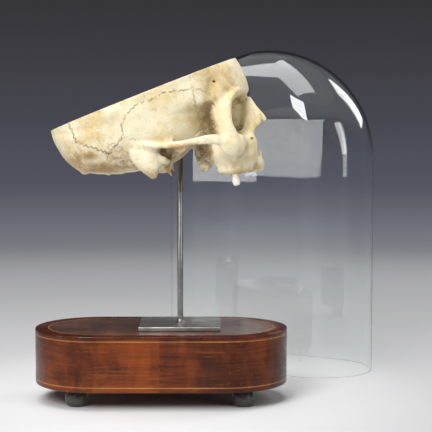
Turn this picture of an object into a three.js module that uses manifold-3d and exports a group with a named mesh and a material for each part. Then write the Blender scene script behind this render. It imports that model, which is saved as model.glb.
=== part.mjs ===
// Human skull with its cap sawn off, held on a steel rod over an oval inlaid mahogany base, with the oval
// glass dome of the set standing beside it. Millimetres, +Z up, the base's long side along X.
import * as THREE from "three";
import { mergeVertices } from "three/addons/utils/BufferGeometryUtils.js";
import Module from "manifold-3d";

const wasm = await Module();
wasm.setup();

// ---------------------------------------------------------------- driving dimensions
const GAP = 0.3; // left between pieces that meet
const BASE = { length: 222, depth: 114, under: 15.4, top: 63.7, veneer: 2 };
const STRING = { width: 1.1, inset: 11, deep: 0.8, low: 4.6, high: 4.2 };
const FOOT = { radius: 10, flat: 7, x: 72, y: 32, steps: 4 };
const PLATE = { width: 71.4, depth: 59.3, thick: 3.8, x: 16.9, y: 0.3 };
const ROD = { radius: 2.5, top: 222 };
const DOME = {
  length: 216, depth: 106, height: 313, wall: 2.4, rise: 104, shoulder: 72, round: 1.95,
  x: 102, y: 168, yaw: -31,
};
// The skull's frame starts midway between the ear holes: X forward, Z up from the level through the ear
// holes and the lowest points of the eye sockets.
const SKULL = { x: 2.25, y: 0, z: 221.9, tilt: 12 };
const SAW = { back: [-92.1, 34.2], front: [78.3, 62.9] }; // the sawn level as x, z in the skull's frame

const FINE = { skull: 1.2, bone: 0.2 }; // how far faceting may shift the skull's surface
const SIDES = [["r", -1], ["l", 1]];
const turn = THREE.MathUtils.degToRad;

// ---------------------------------------------------------------- solids
function solid(geometry) {
  const bare = geometry.clone();
  for (const name of Object.keys(bare.attributes)) {
    if (name !== "position") bare.deleteAttribute(name);
  }
  const merged = mergeVertices(bare, 1e-3);
  const vertProperties = new Float32Array(merged.attributes.position.array);
  const made = (triVerts) => new wasm.Manifold(new wasm.Mesh({ numProp: 3, vertProperties, triVerts }));
  const corners = Uint32Array.from(merged.index.array);
  const whole = made(corners);
  return whole.volume() > 0 ? whole : made(corners.reverse());
}

function geometryOf(body) {
  const mesh = body.getMesh();
  const geometry = new THREE.BufferGeometry();
  geometry.setAttribute("position", new THREE.BufferAttribute(mesh.vertProperties.slice(), 3));
  geometry.setIndex(new THREE.BufferAttribute(mesh.triVerts.slice(), 1));
  geometry.computeVertexNormals();
  return geometry;
}

const join = (solids) => solids.reduce((sum, one) => sum.add(one));
const power = (x, p) => Math.sign(x) * Math.abs(x) ** p;

// A sphere's grid whose rows are put in place one by one by at(angle, row). The first and last are points.
function skin(columns, rows, at) {
  const geometry = new THREE.SphereGeometry(1, columns, rows);
  const { position, uv } = geometry.attributes;
  for (let i = 0; i < position.count; i++) {
    const row = Math.round((1 - uv.getY(i)) * rows);
    const column = row % rows ? Math.round(uv.getX(i) * columns) % columns : 0;
    position.setXYZ(i, ...at((column * 2 * Math.PI) / columns, row));
  }
  return solid(geometry);
}

// The smooth value at share t of a list of values.
function along(list, t) {
  if (list.length === 1) return list[0];
  const curve = new THREE.SplineCurve(list.map((value, i) => new THREE.Vector2(i, value)));
  return curve.getPoint(t).y;
}

// A bar bent along a path. wide is its half size towards side, deep its half size across that.
function bar({ path, wide, deep, side = [0, 1, 0], square = 2, blunt = 2.5, columns = 6, rows = 4 }) {
  const points = path.map((p) => new THREE.Vector3(...p));
  const curve = new THREE.CatmullRomCurve3(points, false, "catmullrom", 0.5);
  return skin(columns, rows, (angle, row) => {
    const t = (1 - Math.cos((Math.PI * row) / rows)) / 2;
    const end = row % rows ? (1 - Math.abs(2 * t - 1) ** blunt) ** (1 / blunt) : 0;
    const ahead = curve.getTangent(t);
    const across = new THREE.Vector3(...side).addScaledVector(ahead, -ahead.dot(new THREE.Vector3(...side)));
    const over = ahead.clone().cross(across.normalize());
    return curve.getPoint(t)
      .addScaledVector(across, along(wide, t) * end * power(Math.cos(angle), 2 / square))
      .addScaledVector(over, along(deep, t) * end * power(Math.sin(angle), 2 / square))
      .toArray();
  });
}

// A closed form built up of level egg-shaped outlines.
// A level is [z, back, front, half width, middle, square].
function stack(levels, columns, rows) {
  const value = (k, t) => along(levels.map((level) => level[k]), t);
  return skin(columns, rows, (angle, row) => {
    const t = row / rows;
    const [z, back, front, half, middle, square] = [0, 1, 2, 3, 4, 5].map((k) => value(k, t));
    if (row % rows === 0) return [middle, 0, z];
    const reach = Math.cos(angle) > 0 ? front - middle : middle - back;
    const x = middle + reach * power(Math.cos(angle), 2 / square);
    return [x, half * power(Math.sin(angle), 2 / square), z];
  });
}

// A path, or a pair of bars, for one side of the skull.
const mirrored = (path, s) => path.map(([x, y, z]) => [x, s * y, z]);
const paired = (spec) => SIDES.map(([, s]) => bar({ ...spec, path: mirrored(spec.path, s) }));

// ---------------------------------------------------------------- the skull's bone, in its own frame
const BRAINCASE = [
  [-17, -26, 0, 5, -14, 2],
  [-14, -40, 10, 22, -18, 2.2],
  [-11, -56, 16, 37, -20, 2.3],
  [-7.5, -70, 22, 47, -20, 2.3],
  [-3, -77.5, 28, 52, -20, 2.4],
  [3, -82.5, 38, 56.5, -18, 2.6],
  [12, -87.3, 46, 60.5, -16, 2.8],
  [22, -90.5, 52, 63, -16, 2.8],
  [27, -91.6, 60, 64, -17, 2.6],
  [31, -92.1, 81, 65, -18, 2.35],
  [38, -92.3, 83.5, 66.5, -18, 2.3],
  [50, -91.3, 82, 67.8, -18, 2.3],
  [63, -88.5, 78, 68, -18, 2.3],
  [80, -80, 68, 62, -16, 2.3],
];
const CAVITY = [
  [11, -70, -6, 32, -34, 2.3],
  [14, -80, 20, 50, -20, 2.5],
  [20, -84.5, 38, 56, -18, 2.7],
  [27, -86, 42, 58.5, -18, 2.7],
  [32, -86.4, 48, 60, -18, 2.5],
  [35, -86.5, 68, 60.6, -18, 2.4],
  [38, -86.5, 75, 61, -18, 2.35],
  [50, -85.5, 75, 62, -18, 2.3],
  [63, -83, 71.5, 62, -18, 2.3],
  [84, -75, 62, 57, -16, 2.3],
];
const HIND_FOSSA = [
  [-10.5, -44, -20, 12, -30, 2.2],
  [-8, -58, -8, 30, -30, 2.3],
  [-4, -68, -3, 40, -30, 2.4],
  [3, -77, 0, 46, -32, 2.4],
  [10, -81, 3, 49, -32, 2.4],
  [18, -83, 3, 53, -32, 2.4],
  [28, -84, 3, 55, -32, 2.4],
];

function braincase() {
  const ridge = { path: [[-66, -32, -4], [-71, 0, -5.5], [-66, 32, -4]], wide: [4], deep: [3.6] };
  return [stack(BRAINCASE, 24, 13), bar({ ...ridge, side: [1, 0, 0] })];
}

function skullBase() {
  return [
    bar({
      path: [[-1, 0, -14], [10, 0, -7], [22, 0, 2], [38, 0, 9]],
      wide: [11, 12, 13, 14], deep: [4, 6, 8, 9],
    }),
    ...paired({ path: [[-14, 16, -12], [-5, 15, -17], [4, 10.5, -17]], wide: [5], deep: [4.5] }),
    ...paired({ path: [[-6, 45, -2], [4, 32, -3], [17, 13, -2]], wide: [8, 7, 5], deep: [9, 8, 7] }),
  ];
}

function earRegion() {
  const mastoid = [[-18, 52, 10], [-14, 53, -3], [-11, 51.5, -14], [-10, 49.5, -23.4]];
  return [
    ...paired({ path: mastoid, side: [1, 0, 0], wide: [14, 13, 10, 4], deep: [8, 8, 7, 3.5], blunt: 3 }),
    ...paired({ path: [[1, 38, -8], [1, 54, -7]], side: [1, 0, 0], wide: [7, 6], deep: [8, 7], blunt: 4 }),
    ...paired({
      path: [[0, 42, -9], [2, 41, -19], [4.5, 39.5, -27]],
      side: [1, 0, 0], wide: [4, 2.2, 1], deep: [4, 2.2, 1], columns: 8,
    }),
  ];
}

function zygomaticArches() {
  const path = [[52, 54, -2], [44, 57.5, 0], [32, 61, 1], [20, 62, 1], [8, 60.5, 2], [-6, 57, 3]];
  return [
    ...paired({
      path, side: [0, 0, 1], wide: [4, 3.2, 2.8, 2.8, 3.4, 3], deep: [2.4, 2.2, 2, 2.2, 4, 4], rows: 7,
    }),
    ...paired({
      path: [[16, 40, -1], [16, 52, -3], [15, 62, -1]],
      side: [1, 0, 0], wide: [5, 4.5, 3.5], deep: [3, 3.4, 3],
    }),
  ];
}

function browsAndCheeks() {
  return [
    ...paired({
      path: [[78, 0, 32], [75.5, 16, 34.5], [69.5, 33, 34], [63.5, 45.5, 29.5], [60.5, 49.5, 20]],
      side: [1, 0, 0.3], wide: [4.5, 5.5, 5.5, 5, 4.5], deep: [5, 4.6, 4.4, 3.4, 3],
      blunt: 4, columns: 6, rows: 6,
    }),
    ...paired({
      path: [[69, 33, -4], [64, 42, -8], [57, 49, -8], [48, 54.5, -3]],
      side: [0, 0, 1], wide: [5, 11, 10, 4.5], deep: [5, 6, 4.5, 2.6], blunt: 4, columns: 8, rows: 5,
    }),
    ...paired({
      path: [[62, 48, -6], [59.5, 49.5, 8], [60, 49.5, 18], [61, 49, 26]],
      side: [1, 0, 0], wide: [6, 5, 5, 5.5], deep: [3.5, 3, 3.2, 3.4], blunt: 4, rows: 5,
    }),
    ...paired({
      path: [[60, 50, 12], [52, 45.5, 13], [41, 33, 15]],
      side: [0, 0, 1], wide: [13, 15, 14], deep: [3], square: 3, blunt: 5,
    }),
  ];
}

function upperJaw() {
  const arch = [[43, 26, -26], [54, 27, -28], [66, 22.5, -29], [75, 13, -30.5]];
  const path = [...mirrored(arch, -1), [78, 0, -31], ...arch.toReversed()];
  return [
    ...paired({
      path: [[41, 24, -13], [55, 27, -14], [68, 24, -15], [77, 14, -16]],
      wide: [10, 15, 16, 12], deep: [14, 16, 17, 15], square: 2.8, blunt: 4, columns: 10, rows: 6,
    }),
    bar({ path, side: [0, 0, 1], wide: [7.5], deep: [5.5], square: 2.6, blunt: 8, columns: 6, rows: 12 }),
    bar({
      path: [[40, 0, -20], [60, 0, -22], [77, 0, -24.5]],
      wide: [20, 21, 14], deep: [1.9], square: 3, blunt: 5,
    }),
    bar({ path: [[72, 0, -25], [80, 0, -23], [85, 0, -20]], wide: [6, 3, 1], deep: [5, 3, 1] }),
  ];
}

function noseRoot() {
  return [
    bar({
      path: [[36, 0, 12], [60, 0, 13], [76, 0, 14]],
      wide: [11.5, 11.5, 9], deep: [13], square: 3, blunt: 5,
    }),
    bar({ path: [[72, 0, 38], [77, 0, 27], [79, 0, 18]], wide: [12, 9.5, 8], deep: [7, 4.5, 3], blunt: 4 }),
    ...paired({
      path: [[71, 19, -10], [77, 14, 2], [80, 9, 13], [79, 7, 27]],
      wide: [7, 4, 3.2, 3.4], deep: [6, 5.5, 5.5, 4], blunt: 4,
    }),
  ];
}

function wingProcesses() {
  return [
    ...paired({
      path: [[34, 18, 4], [33, 22, -12], [32, 26, -28]],
      side: [1, 0, 0], wide: [7, 8, 5.5], deep: [1.3], blunt: 4,
    }),
    ...paired({
      path: [[37, 11, 4], [37, 13, -12], [36, 13.5, -27]],
      side: [1, 0, 0], wide: [6, 5, 3], deep: [1.3], blunt: 4,
    }),
  ];
}

// The thin bones and the tooth, each a form of its own, grown by a distance where room is cut for it.
function nasalBone(s, by = 0) {
  const path = mirrored([[81, 3, 27], [84, 3.2, 18], [89.5, 3.4, 9], [93, 3, 4.5]], s);
  const sized = (list) => list.map((value) => value + by);
  const bone = bar({ path, wide: sized([3.2, 3.6, 4.4, 3.6]), deep: sized([2.2, 1.8, 1.4, 1]), blunt: 4 });
  return bone.intersect(prism("side", [[60, -20], [120, -20], [120, 60], [60, 60]], ...half(s), by));
}

function vomerBone(by = 0) {
  const path = [[39, 0, -6], [55, 0, -5], [72, 0, -10]];
  const wide = [11, 15, 10].map((value) => value + by);
  return bar({ path, side: [0, 0, 1], wide, deep: [0.8 + by], blunt: 5 });
}

function toothBody(by = 0) {
  const path = [[56.5, -26, -27], [56.5, -26, -36], [56.3, -26.2, -40], [56.2, -26.3, -44.5]];
  const [wide, deep] = [[1.6, 2, 3.4, 3.2], [2, 2.4, 4, 3.6]].map((list) => list.map((value) => value + by));
  return bar({ path, side: [1, 0, 0], wide, deep, blunt: 5, rows: 6 });
}

// What is hollow in the bone: braincase, great foramen, eye sockets, nose, ear holes and jaw sockets.
function hollows() {
  const straight = { blunt: 8 };
  return [
    stack(CAVITY, 18, 9),
    stack(HIND_FOSSA, 14, 6),
    ...paired({
      path: [[0, 44, 15], [20, 38.5, 15], [38, 29, 14]],
      wide: [10, 11, 10], deep: [12], rows: 5, columns: 8,
    }),
    bar({
      path: [[-18, 0, -30], [-18, 0, 8]],
      side: [1, 0, 0], wide: [17.5], deep: [14.5], columns: 12, rows: 3, ...straight,
    }),
    ...paired({
      path: [[41, 12, 17], [52, 20, 15], [64, 28, 13.5], [84, 39, 12]],
      side: [-0.5, 0.87, 0], wide: [4, 12, 18, 21], deep: [4, 11.5, 16, 18],
      square: 2.4, blunt: 7, columns: 12, rows: 5,
    }),
    bar({
      path: [[28, 0, -10], [60, 0, -12], [96, 0, -11.5]],
      wide: [11, 11.5, 12.5], deep: [8, 8.5, 9], square: 2.6, columns: 10, rows: 4, ...straight,
    }),
    bar({ path: [[48, 0, -2], [98, 0, -1]], wide: [7], deep: [8], columns: 8, rows: 3, ...straight }),
    ...paired({
      path: [[-0.3, 80, -1.5], [2, 40, -3]],
      side: [1, 0, 0], wide: [3.2], deep: [3.4], rows: 5, columns: 6, ...straight,
    }),
    ...paired({ path: [[7, 40, -5], [7, 57, -5]], side: [1, 0, 0], wide: [5], deep: [6], rows: 6 }),
  ];
}

// ---------------------------------------------------------------- parting the skull into its bones
// An outline's points moved out by a distance. The outline runs anticlockwise.
function grown(points, by) {
  return points.map((p, i) => {
    const before = points[(i + points.length - 1) % points.length];
    const after = points[(i + 1) % points.length];
    const edge = (a, b) => new THREE.Vector2(b[1] - a[1], a[0] - b[0]).normalize();
    const [m, n] = [edge(before, p), edge(p, after)];
    const corner = m.clone().add(n).multiplyScalar(by / Math.max(1 + m.dot(n), 0.5));
    return [p[0] + corner.x, p[1] + corner.y];
  });
}

// A prism with its outline seen from the side (x, z) or from above (x, y), between two values of the third.
function prism(view, points, from, to, by) {
  const shape = new THREE.Shape(grown(points, by).map(([a, b]) => new THREE.Vector2(a, b)));
  const depth = to - from + 2 * by;
  const geometry = new THREE.ExtrudeGeometry(shape, { depth, bevelEnabled: false });
  if (view === "side") geometry.rotateX(Math.PI / 2).translate(0, to + by, 0);
  else geometry.translate(0, 0, from - by);
  return solid(geometry);
}

const FAR = 130;
const flip = (points, s) => (s > 0 ? points : points.map(([x, y]) => [x, -y]).toReversed());
const half = (s) => (s > 0 ? [GAP / 2, FAR] : [-FAR, -GAP / 2]);

const CORONAL = [[36.1, 44], [36.6, 54], [38, FAR]];
const SQUAMOUS = [
  [-43.1, 5.8], [-31.9, 13.4], [-27.2, 19.6], [-27.5, 26.1], [-21.8, 34], [-9.7, 41.7],
  [3.3, 42.2], [13, 45.9], [28, 44],
];
const LAMBDOID = [[-70, FAR], [-70.5, 34.8], [-68.2, 22.5], [-59.2, 15.4]];

// Each bone in the order in which it is taken out of the skull, as a function of how much it is grown.
function boneRegions() {
  const regions = [];
  const mouth = [[41, -50], [100, -50], [100, 24.5], [75, 24.5], [74, 2], [62, 1.5], [50, 1.5], [41, -3]];
  const brow = [
    [100, 24.5], [100, FAR], ...CORONAL.toReversed().slice(0, 2), [36.1, 44], [46, 40], [54, 32], [57, 24.5],
  ];
  const squama = [
    ...SQUAMOUS.toReversed(), [-50, -6], [-40, -40], [12, -50], [30, -14], [42, -8], [42, 8], [36.7, 15],
    [36.1, 43.8],
  ];
  const petrous = [
    [45, 48], [45, 90], [-60, 90], [-60, 60], [-44, 50], [-28, 40], [-12, 29], [-2, 21], [10, 9], [18, 11],
    [26, 26], [30, 38],
  ];
  const malar = [[39, 50.5], [50, 44], [54, 38], [66, 30], [80, 30], [80, 75], [42, 75]];
  for (const [name, s] of SIDES) {
    regions.push([`skull_zygomatic_${name}`, (by) => {
      return prism("above", flip(malar, s), -29, 24.5, by);
    }]);
  }
  for (const [name, s] of SIDES) {
    regions.push([`skull_maxilla_${name}`, (by) => prism("side", mouth, ...half(s), by)]);
  }
  regions.push(["skull_frontal", (by) => prism("side", brow, -FAR, FAR, by)]);
  for (const [name, s] of SIDES) {
    const wall = [...SQUAMOUS, ...CORONAL, ...LAMBDOID];
    regions.push([`skull_parietal_${name}`, (by) => prism("side", wall, ...half(s), by)]);
  }
  for (const [name, s] of SIDES) {
    regions.push([`skull_temporal_${name}`, (by) =>
      prism("side", squama, ...half(s), by).intersect(prism("above", flip(petrous, s), -FAR, FAR, by))]);
  }
  const upTo = (x) => [[-FAR, -FAR], [x, -FAR], [x, FAR], [-FAR, FAR]];
  regions.push(["skull_occipital", (by) => prism("side", upTo(12), -FAR, FAR, by)]);
  regions.push(["skull_sphenoid", (by) => prism("side", upTo(FAR), -FAR, FAR, by)]);
  return regions;
}

const largest = (body) => body.decompose().reduce((a, b) => (a.volume() > b.volume() ? a : b));

// The skull's frame in the base's.
const placed = new THREE.Matrix4().makeRotationY(turn(-SKULL.tilt)).setPosition(SKULL.x, SKULL.y, SKULL.z);
const rodInSkull = () => rodBody(GAP).transform(placed.clone().invert().toArray());

// Everything above the sawn level.
function sawnOff() {
  const [[x0, z0], [x1, z1]] = [SAW.back, SAW.front];
  const box = new THREE.BoxGeometry(500, 300, 200).translate(0, 0, 100);
  return solid(box.rotateY(-Math.atan2(z1 - z0, x1 - x0)).translate(x0, 0, z0));
}

function skullBones() {
  const whole = join([
    ...braincase(), ...skullBase(), ...earRegion(), ...zygomaticArches(), ...browsAndCheeks(), ...upperJaw(),
    ...noseRoot(), ...wingProcesses(),
  ]);
  const own = [["skull_vomer", vomerBone], ["skull_tooth", toothBody]];
  for (const [name, s] of SIDES) own.push([`skull_nasal_${name}`, (by) => nasalBone(s, by)]);
  const room = join(own.map(([, made]) => made(GAP)));
  const worked = whole.subtract(join(hollows())).subtract(sawnOff()).simplify(FINE.skull);
  let rest = worked.subtract(room).subtract(rodInSkull());
  const bones = own.map(([name, made]) => [name, made(0)]);
  for (const [name, region] of boneRegions()) {
    const bone = rest.intersect(region(0));
    rest = rest.subtract(region(GAP));
    bones.push([name, largest(bone.simplify(FINE.bone))]);
  }
  return bones;
}

// ---------------------------------------------------------------- stand, base and dome
function rodBody(by = 0) {
  const low = BASE.top + PLATE.thick + GAP;
  const length = ROD.top + by - low;
  const rod = new THREE.CylinderGeometry(ROD.radius + by, ROD.radius + by, length, 12);
  return solid(rod.rotateX(Math.PI / 2).translate(PLATE.x, PLATE.y, low + length / 2));
}

function plateBody() {
  const plate = new THREE.BoxGeometry(PLATE.width, PLATE.depth, PLATE.thick);
  return solid(plate.translate(PLATE.x, PLATE.y, BASE.top + GAP / 2 + PLATE.thick / 2));
}

// An oval with straight sides and half-round ends, drawn in by inset.
function oval(inset, path = new THREE.Shape()) {
  const radius = BASE.depth / 2 - inset;
  const reach = (BASE.length - BASE.depth) / 2;
  path.absarc(reach, 0, radius, -Math.PI / 2, Math.PI / 2, false);
  path.absarc(-reach, 0, radius, Math.PI / 2, (3 * Math.PI) / 2, false);
  return path;
}

function ovalSlab(outer, inner, from, to) {
  const shape = oval(outer);
  if (inner !== null) shape.holes.push(oval(inner, new THREE.Path()));
  const slab = new THREE.ExtrudeGeometry(shape, { depth: to - from, bevelEnabled: false, curveSegments: 5 });
  return solid(slab.translate(0, 0, from));
}

function baseBodies() {
  const { width, inset, deep, low, high } = STRING;
  const seat = BASE.top - BASE.veneer;
  const groove = (z) => ovalSlab(-1, deep + GAP, z - width / 2 - GAP, z + width / 2 + GAP);
  const string = (z) => ovalSlab(0, deep, z - width / 2, z + width / 2);
  const [lowZ, highZ] = [BASE.under + low, BASE.top - high];
  return [
    ["base_carcass", ovalSlab(0, null, BASE.under, seat - GAP).subtract(groove(lowZ)).subtract(groove(highZ))],
    ["base_border", ovalSlab(0, inset, seat, BASE.top)],
    ["base_string_top", ovalSlab(inset + GAP, inset + GAP + width, seat, BASE.top)],
    ["base_field", ovalSlab(inset + 2 * GAP + width, null, seat, BASE.top)],
    ["base_string_low", string(lowZ)],
    ["base_string_high", string(highZ)],
  ];
}

function footBody(x, y) {
  const high = BASE.under - GAP;
  const bulge = FOOT.radius - FOOT.flat;
  const profile = [new THREE.Vector2(0, 0), new THREE.Vector2(FOOT.flat, 0)];
  for (let k = 1; k < FOOT.steps; k++) {
    const angle = Math.PI * (k / FOOT.steps - 0.5);
    const [out, up] = [bulge * Math.cos(angle), 1 + Math.sin(angle)];
    profile.push(new THREE.Vector2(FOOT.flat + out, (high / 2) * up));
  }
  profile.push(new THREE.Vector2(FOOT.flat, high), new THREE.Vector2(0, high));
  return solid(new THREE.LatheGeometry(profile, 10).rotateX(Math.PI / 2).translate(x, y, 0));
}

// The dome's outer or inner face: upright sides that round over into the crown.
function domeFace(inset, floor, columns, rows) {
  const [a, b] = [DOME.length / 2 - inset, DOME.depth / 2 - inset];
  const [rise, shoulder] = [DOME.rise - inset, DOME.shoulder - inset];
  const spring = DOME.height - DOME.rise;
  const dip = (z, height) => Math.max(0, 1 - Math.max(0, z / height) ** DOME.round) ** (1 / DOME.round);
  return skin(columns, rows, (angle, row) => {
    if (row === 0) return [0, 0, floor];
    if (row === rows) return [0, 0, spring + rise];
    const s = (row - 2) / (rows - 2);
    const up = row === 1 ? floor - spring : rise * Math.sin((s * Math.PI) / 2);
    const long = a * dip(up, rise);
    const short = Math.min(b * dip(up - (rise - shoulder), shoulder), long);
    const x = short * Math.cos(angle) + Math.sign(Math.round(Math.cos(angle) * 1e6)) * (long - short);
    return [x, short * Math.sin(angle), spring + up];
  });
}

function domeBody() {
  const shell = domeFace(0, 0, 24, 8).subtract(domeFace(DOME.wall, -5, 24, 8));
  const place = new THREE.Matrix4().makeRotationZ(turn(DOME.yaw)).setPosition(DOME.x, DOME.y, 0);
  return shell.transform(place.toArray());
}

// ---------------------------------------------------------------- finishes and the whole
const FINISH = {
  bone: { color: 0xe0d2a8, roughness: 0.62, metalness: 0 },
  tooth: { color: 0xeee6cf, roughness: 0.3, metalness: 0 },
  steel: { color: 0x8a8b8a, roughness: 0.3, metalness: 1 },
  mahogany: { color: 0x5a2813, roughness: 0.32, metalness: 0 },
  border: { color: 0x4a1e10, roughness: 0.3, metalness: 0 },
  string: { color: 0xb8763c, roughness: 0.4, metalness: 0 },
  ebonised: { color: 0x1c1b19, roughness: 0.4, metalness: 0 },
  glass: { color: 0xf2f6f4, roughness: 0.03, metalness: 0, transparent: true, opacity: 0.25 },
};

const group = new THREE.Group();

function add(name, body, finish) {
  const mesh = new THREE.Mesh(geometryOf(body), new THREE.MeshStandardMaterial(FINISH[finish]));
  mesh.name = name;
  group.add(mesh);
}

const BASE_FINISH = { carcass: "mahogany", border: "border", field: "mahogany" };
for (const [name, body] of baseBodies()) add(name, body, BASE_FINISH[name.split("_")[1]] ?? "string");
for (const [side, s] of SIDES) {
  add(`base_foot_${side}_front`, footBody(-s * FOOT.x, -FOOT.y), "ebonised");
  add(`base_foot_${side}_back`, footBody(-s * FOOT.x, FOOT.y), "ebonised");
}
add("mount_plate", plateBody(), "steel");
add("mount_rod", rodBody(), "steel");
for (const [name, bone] of skullBones()) {
  const clean = largest(solid(geometryOf(bone.transform(placed.toArray()))));
  add(name, clean, name === "skull_tooth" ? "tooth" : "bone");
}
add("dome_glass", domeBody(), "glass");

// The origin is at the middle of the whole's outline on the floor.
const box = new THREE.Box3().setFromObject(group);
const middle = box.getCenter(new THREE.Vector3());
group.position.set(-middle.x, -middle.y, -box.min.z);

const part = new THREE.Group();
part.add(group);

export default part;
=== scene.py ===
"""A human skull with its cap sawn off, on a steel rod over an inlaid base, with its glass dome beside it."""
import logging
import math
from dataclasses import dataclass, field
from enum import Enum
from typing import Iterable, Protocol, Sequence

import bmesh
import bpy
import numpy as np
from mathutils import Matrix, Vector, noise
from mathutils.bvhtree import BVHTree


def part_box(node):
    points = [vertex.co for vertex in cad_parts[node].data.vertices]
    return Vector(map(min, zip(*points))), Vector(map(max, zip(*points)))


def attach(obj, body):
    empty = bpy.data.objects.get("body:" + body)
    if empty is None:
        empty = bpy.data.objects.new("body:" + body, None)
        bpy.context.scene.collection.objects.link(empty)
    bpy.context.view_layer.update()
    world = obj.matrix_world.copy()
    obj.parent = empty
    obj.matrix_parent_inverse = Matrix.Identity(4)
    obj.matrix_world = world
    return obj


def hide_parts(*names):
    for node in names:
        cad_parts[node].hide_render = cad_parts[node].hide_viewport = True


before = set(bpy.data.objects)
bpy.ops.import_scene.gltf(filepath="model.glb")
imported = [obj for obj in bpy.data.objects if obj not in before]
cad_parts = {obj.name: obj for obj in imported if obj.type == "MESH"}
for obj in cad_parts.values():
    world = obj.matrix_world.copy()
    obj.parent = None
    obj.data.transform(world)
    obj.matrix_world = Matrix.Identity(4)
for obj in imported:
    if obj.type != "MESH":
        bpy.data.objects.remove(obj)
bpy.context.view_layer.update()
LOG = logging.getLogger("mounted_skull")

Point = Sequence[float]
Tint = tuple[int, int, int]
MM = 0.001


class Tilt(Enum):
    """Which way a cutting outline is seen."""

    SIDE = "x and z, cut through from right to left"
    ABOVE = "x and y, cut through from below"
    FRONT = "y and z, cut through from back to front"


# ---------------------------------------------------------------- places
def base_middle() -> Vector:
    """The point on the floor under the middle of the base."""
    low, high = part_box("base_carcass")
    return Vector(((low[0] + high[0]) / 2, (low[1] + high[1]) / 2, 0.0))


@dataclass(frozen=True)
class SkullPlace:
    """Where the skull's own frame stands: midway between the ear holes, X forward, Z up, in millimetres."""

    ahead: float = 2.25
    height: float = 221.9
    tilt: float = 12.0
    saw_back: tuple[float, float] = (-92.1, 34.2)
    saw_front: tuple[float, float] = (78.3, 62.9)

    def matrix(self) -> Matrix:
        """The skull's frame in metres in the part's frame.

        Returns:
            The matrix that moves the skull's frame to where it stands.
        """
        offset = base_middle() + Vector((self.ahead, 0.0, self.height)) * MM
        turned = Matrix.Translation(offset) @ Matrix.Rotation(-math.radians(self.tilt), 4, "Y")
        return turned @ Matrix.Scale(MM, 4)

    def saw_height(self, x: np.ndarray) -> np.ndarray:
        """The sawn level's height at places along the skull."""
        (x0, z0), (x1, z1) = self.saw_back, self.saw_front
        return z0 + (x - x0) * (z1 - z0) / (x1 - x0)


PLACE = SkullPlace()
SIDES = (("r", -1.0), ("l", 1.0))


# ---------------------------------------------------------------- forms
def along(values: Sequence, share: np.ndarray) -> np.ndarray:
    """Reads a list of numbers or points smoothly.

    Args:
        values: The numbers or points, in order.
        share: How far along the list to read, from 0 to 1.

    Returns:
        One row for each share.
    """
    rows = np.asarray(values, float).reshape(len(values), -1)
    if len(rows) == 1:
        return np.repeat(rows, len(share), axis=0)
    padded = np.vstack([2 * rows[0] - rows[1], rows, 2 * rows[-1] - rows[-2]])
    place = np.clip(share, 0.0, 1.0) * (len(rows) - 1)
    start = np.minimum(place.astype(int), len(rows) - 2)
    f = (place - start)[:, None]
    a, b, c, d = (padded[start + k] for k in range(4))
    return 0.5 * (2 * b + (c - a) * f + (2 * a - 5 * b + 4 * c - d) * f**2 + (3 * b - a - 3 * c + d) * f**3)


def power(x: np.ndarray, exponent: float | np.ndarray) -> np.ndarray:
    """A power that keeps the sign."""
    return np.sign(x) * np.abs(x) ** exponent


class Form(Protocol):
    """Anything that can lay a unit sphere's points out as a closed form."""

    def lay(self, unit: np.ndarray) -> np.ndarray:
        """Places a unit sphere's points."""


@dataclass(frozen=True)
class Bar:
    """A rounded bar along a bent path, in millimetres in the skull's frame.

    wide is its half size towards side, deep its half size across that, square how boxy its section is,
    and blunt how boxy its ends are.
    """

    path: Sequence[Point]
    wide: Sequence[float]
    deep: Sequence[float]
    side: Point = (0.0, 1.0, 0.0)
    square: float = 2.0
    blunt: float = 2.5
    fine: tuple[int, int] = (20, 16)

    def lay(self, unit: np.ndarray) -> np.ndarray:
        """Lays a unit sphere's points along the bar.

        Args:
            unit: The sphere's points.

        Returns:
            Their places.
        """
        share = (1 - unit[:, 2]) / 2
        angle = np.arctan2(unit[:, 1], unit[:, 0])
        end = np.maximum(1 - np.abs(2 * share - 1) ** self.blunt, 0.0) ** (1 / self.blunt)
        inner = np.clip(share, 0.004, 0.996)
        ahead = along(self.path, inner + 0.003) - along(self.path, inner - 0.003)
        ahead /= np.linalg.norm(ahead, axis=1)[:, None]
        side = np.asarray(self.side, float)
        across = side - ahead * (ahead @ side)[:, None]
        across /= np.linalg.norm(across, axis=1)[:, None]
        over = np.cross(ahead, across)
        wide = along(self.wide, share)[:, 0] * end * power(np.cos(angle), 2 / self.square)
        deep = along(self.deep, share)[:, 0] * end * power(np.sin(angle), 2 / self.square)
        return along(self.path, share) + wide[:, None] * across + deep[:, None] * over

    def mirrored(self, sign: float) -> "Bar":
        """The same bar on the skull's other side when sign is -1.

        Args:
            sign: -1 for the other side, 1 for this one.

        Returns:
            The bar.
        """
        turned = [(x, sign * y, z) for x, y, z in self.path]
        side = (self.side[0], sign * self.side[1], self.side[2])
        return Bar(turned, self.wide, self.deep, side, self.square, self.blunt, self.fine)

    def grown(self, by: float) -> "Bar":
        """The same bar, thicker all round by a distance."""
        wide, deep = ([value + by for value in sizes] for sizes in (self.wide, self.deep))
        return Bar(self.path, wide, deep, self.side, self.square, self.blunt, self.fine)


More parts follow.
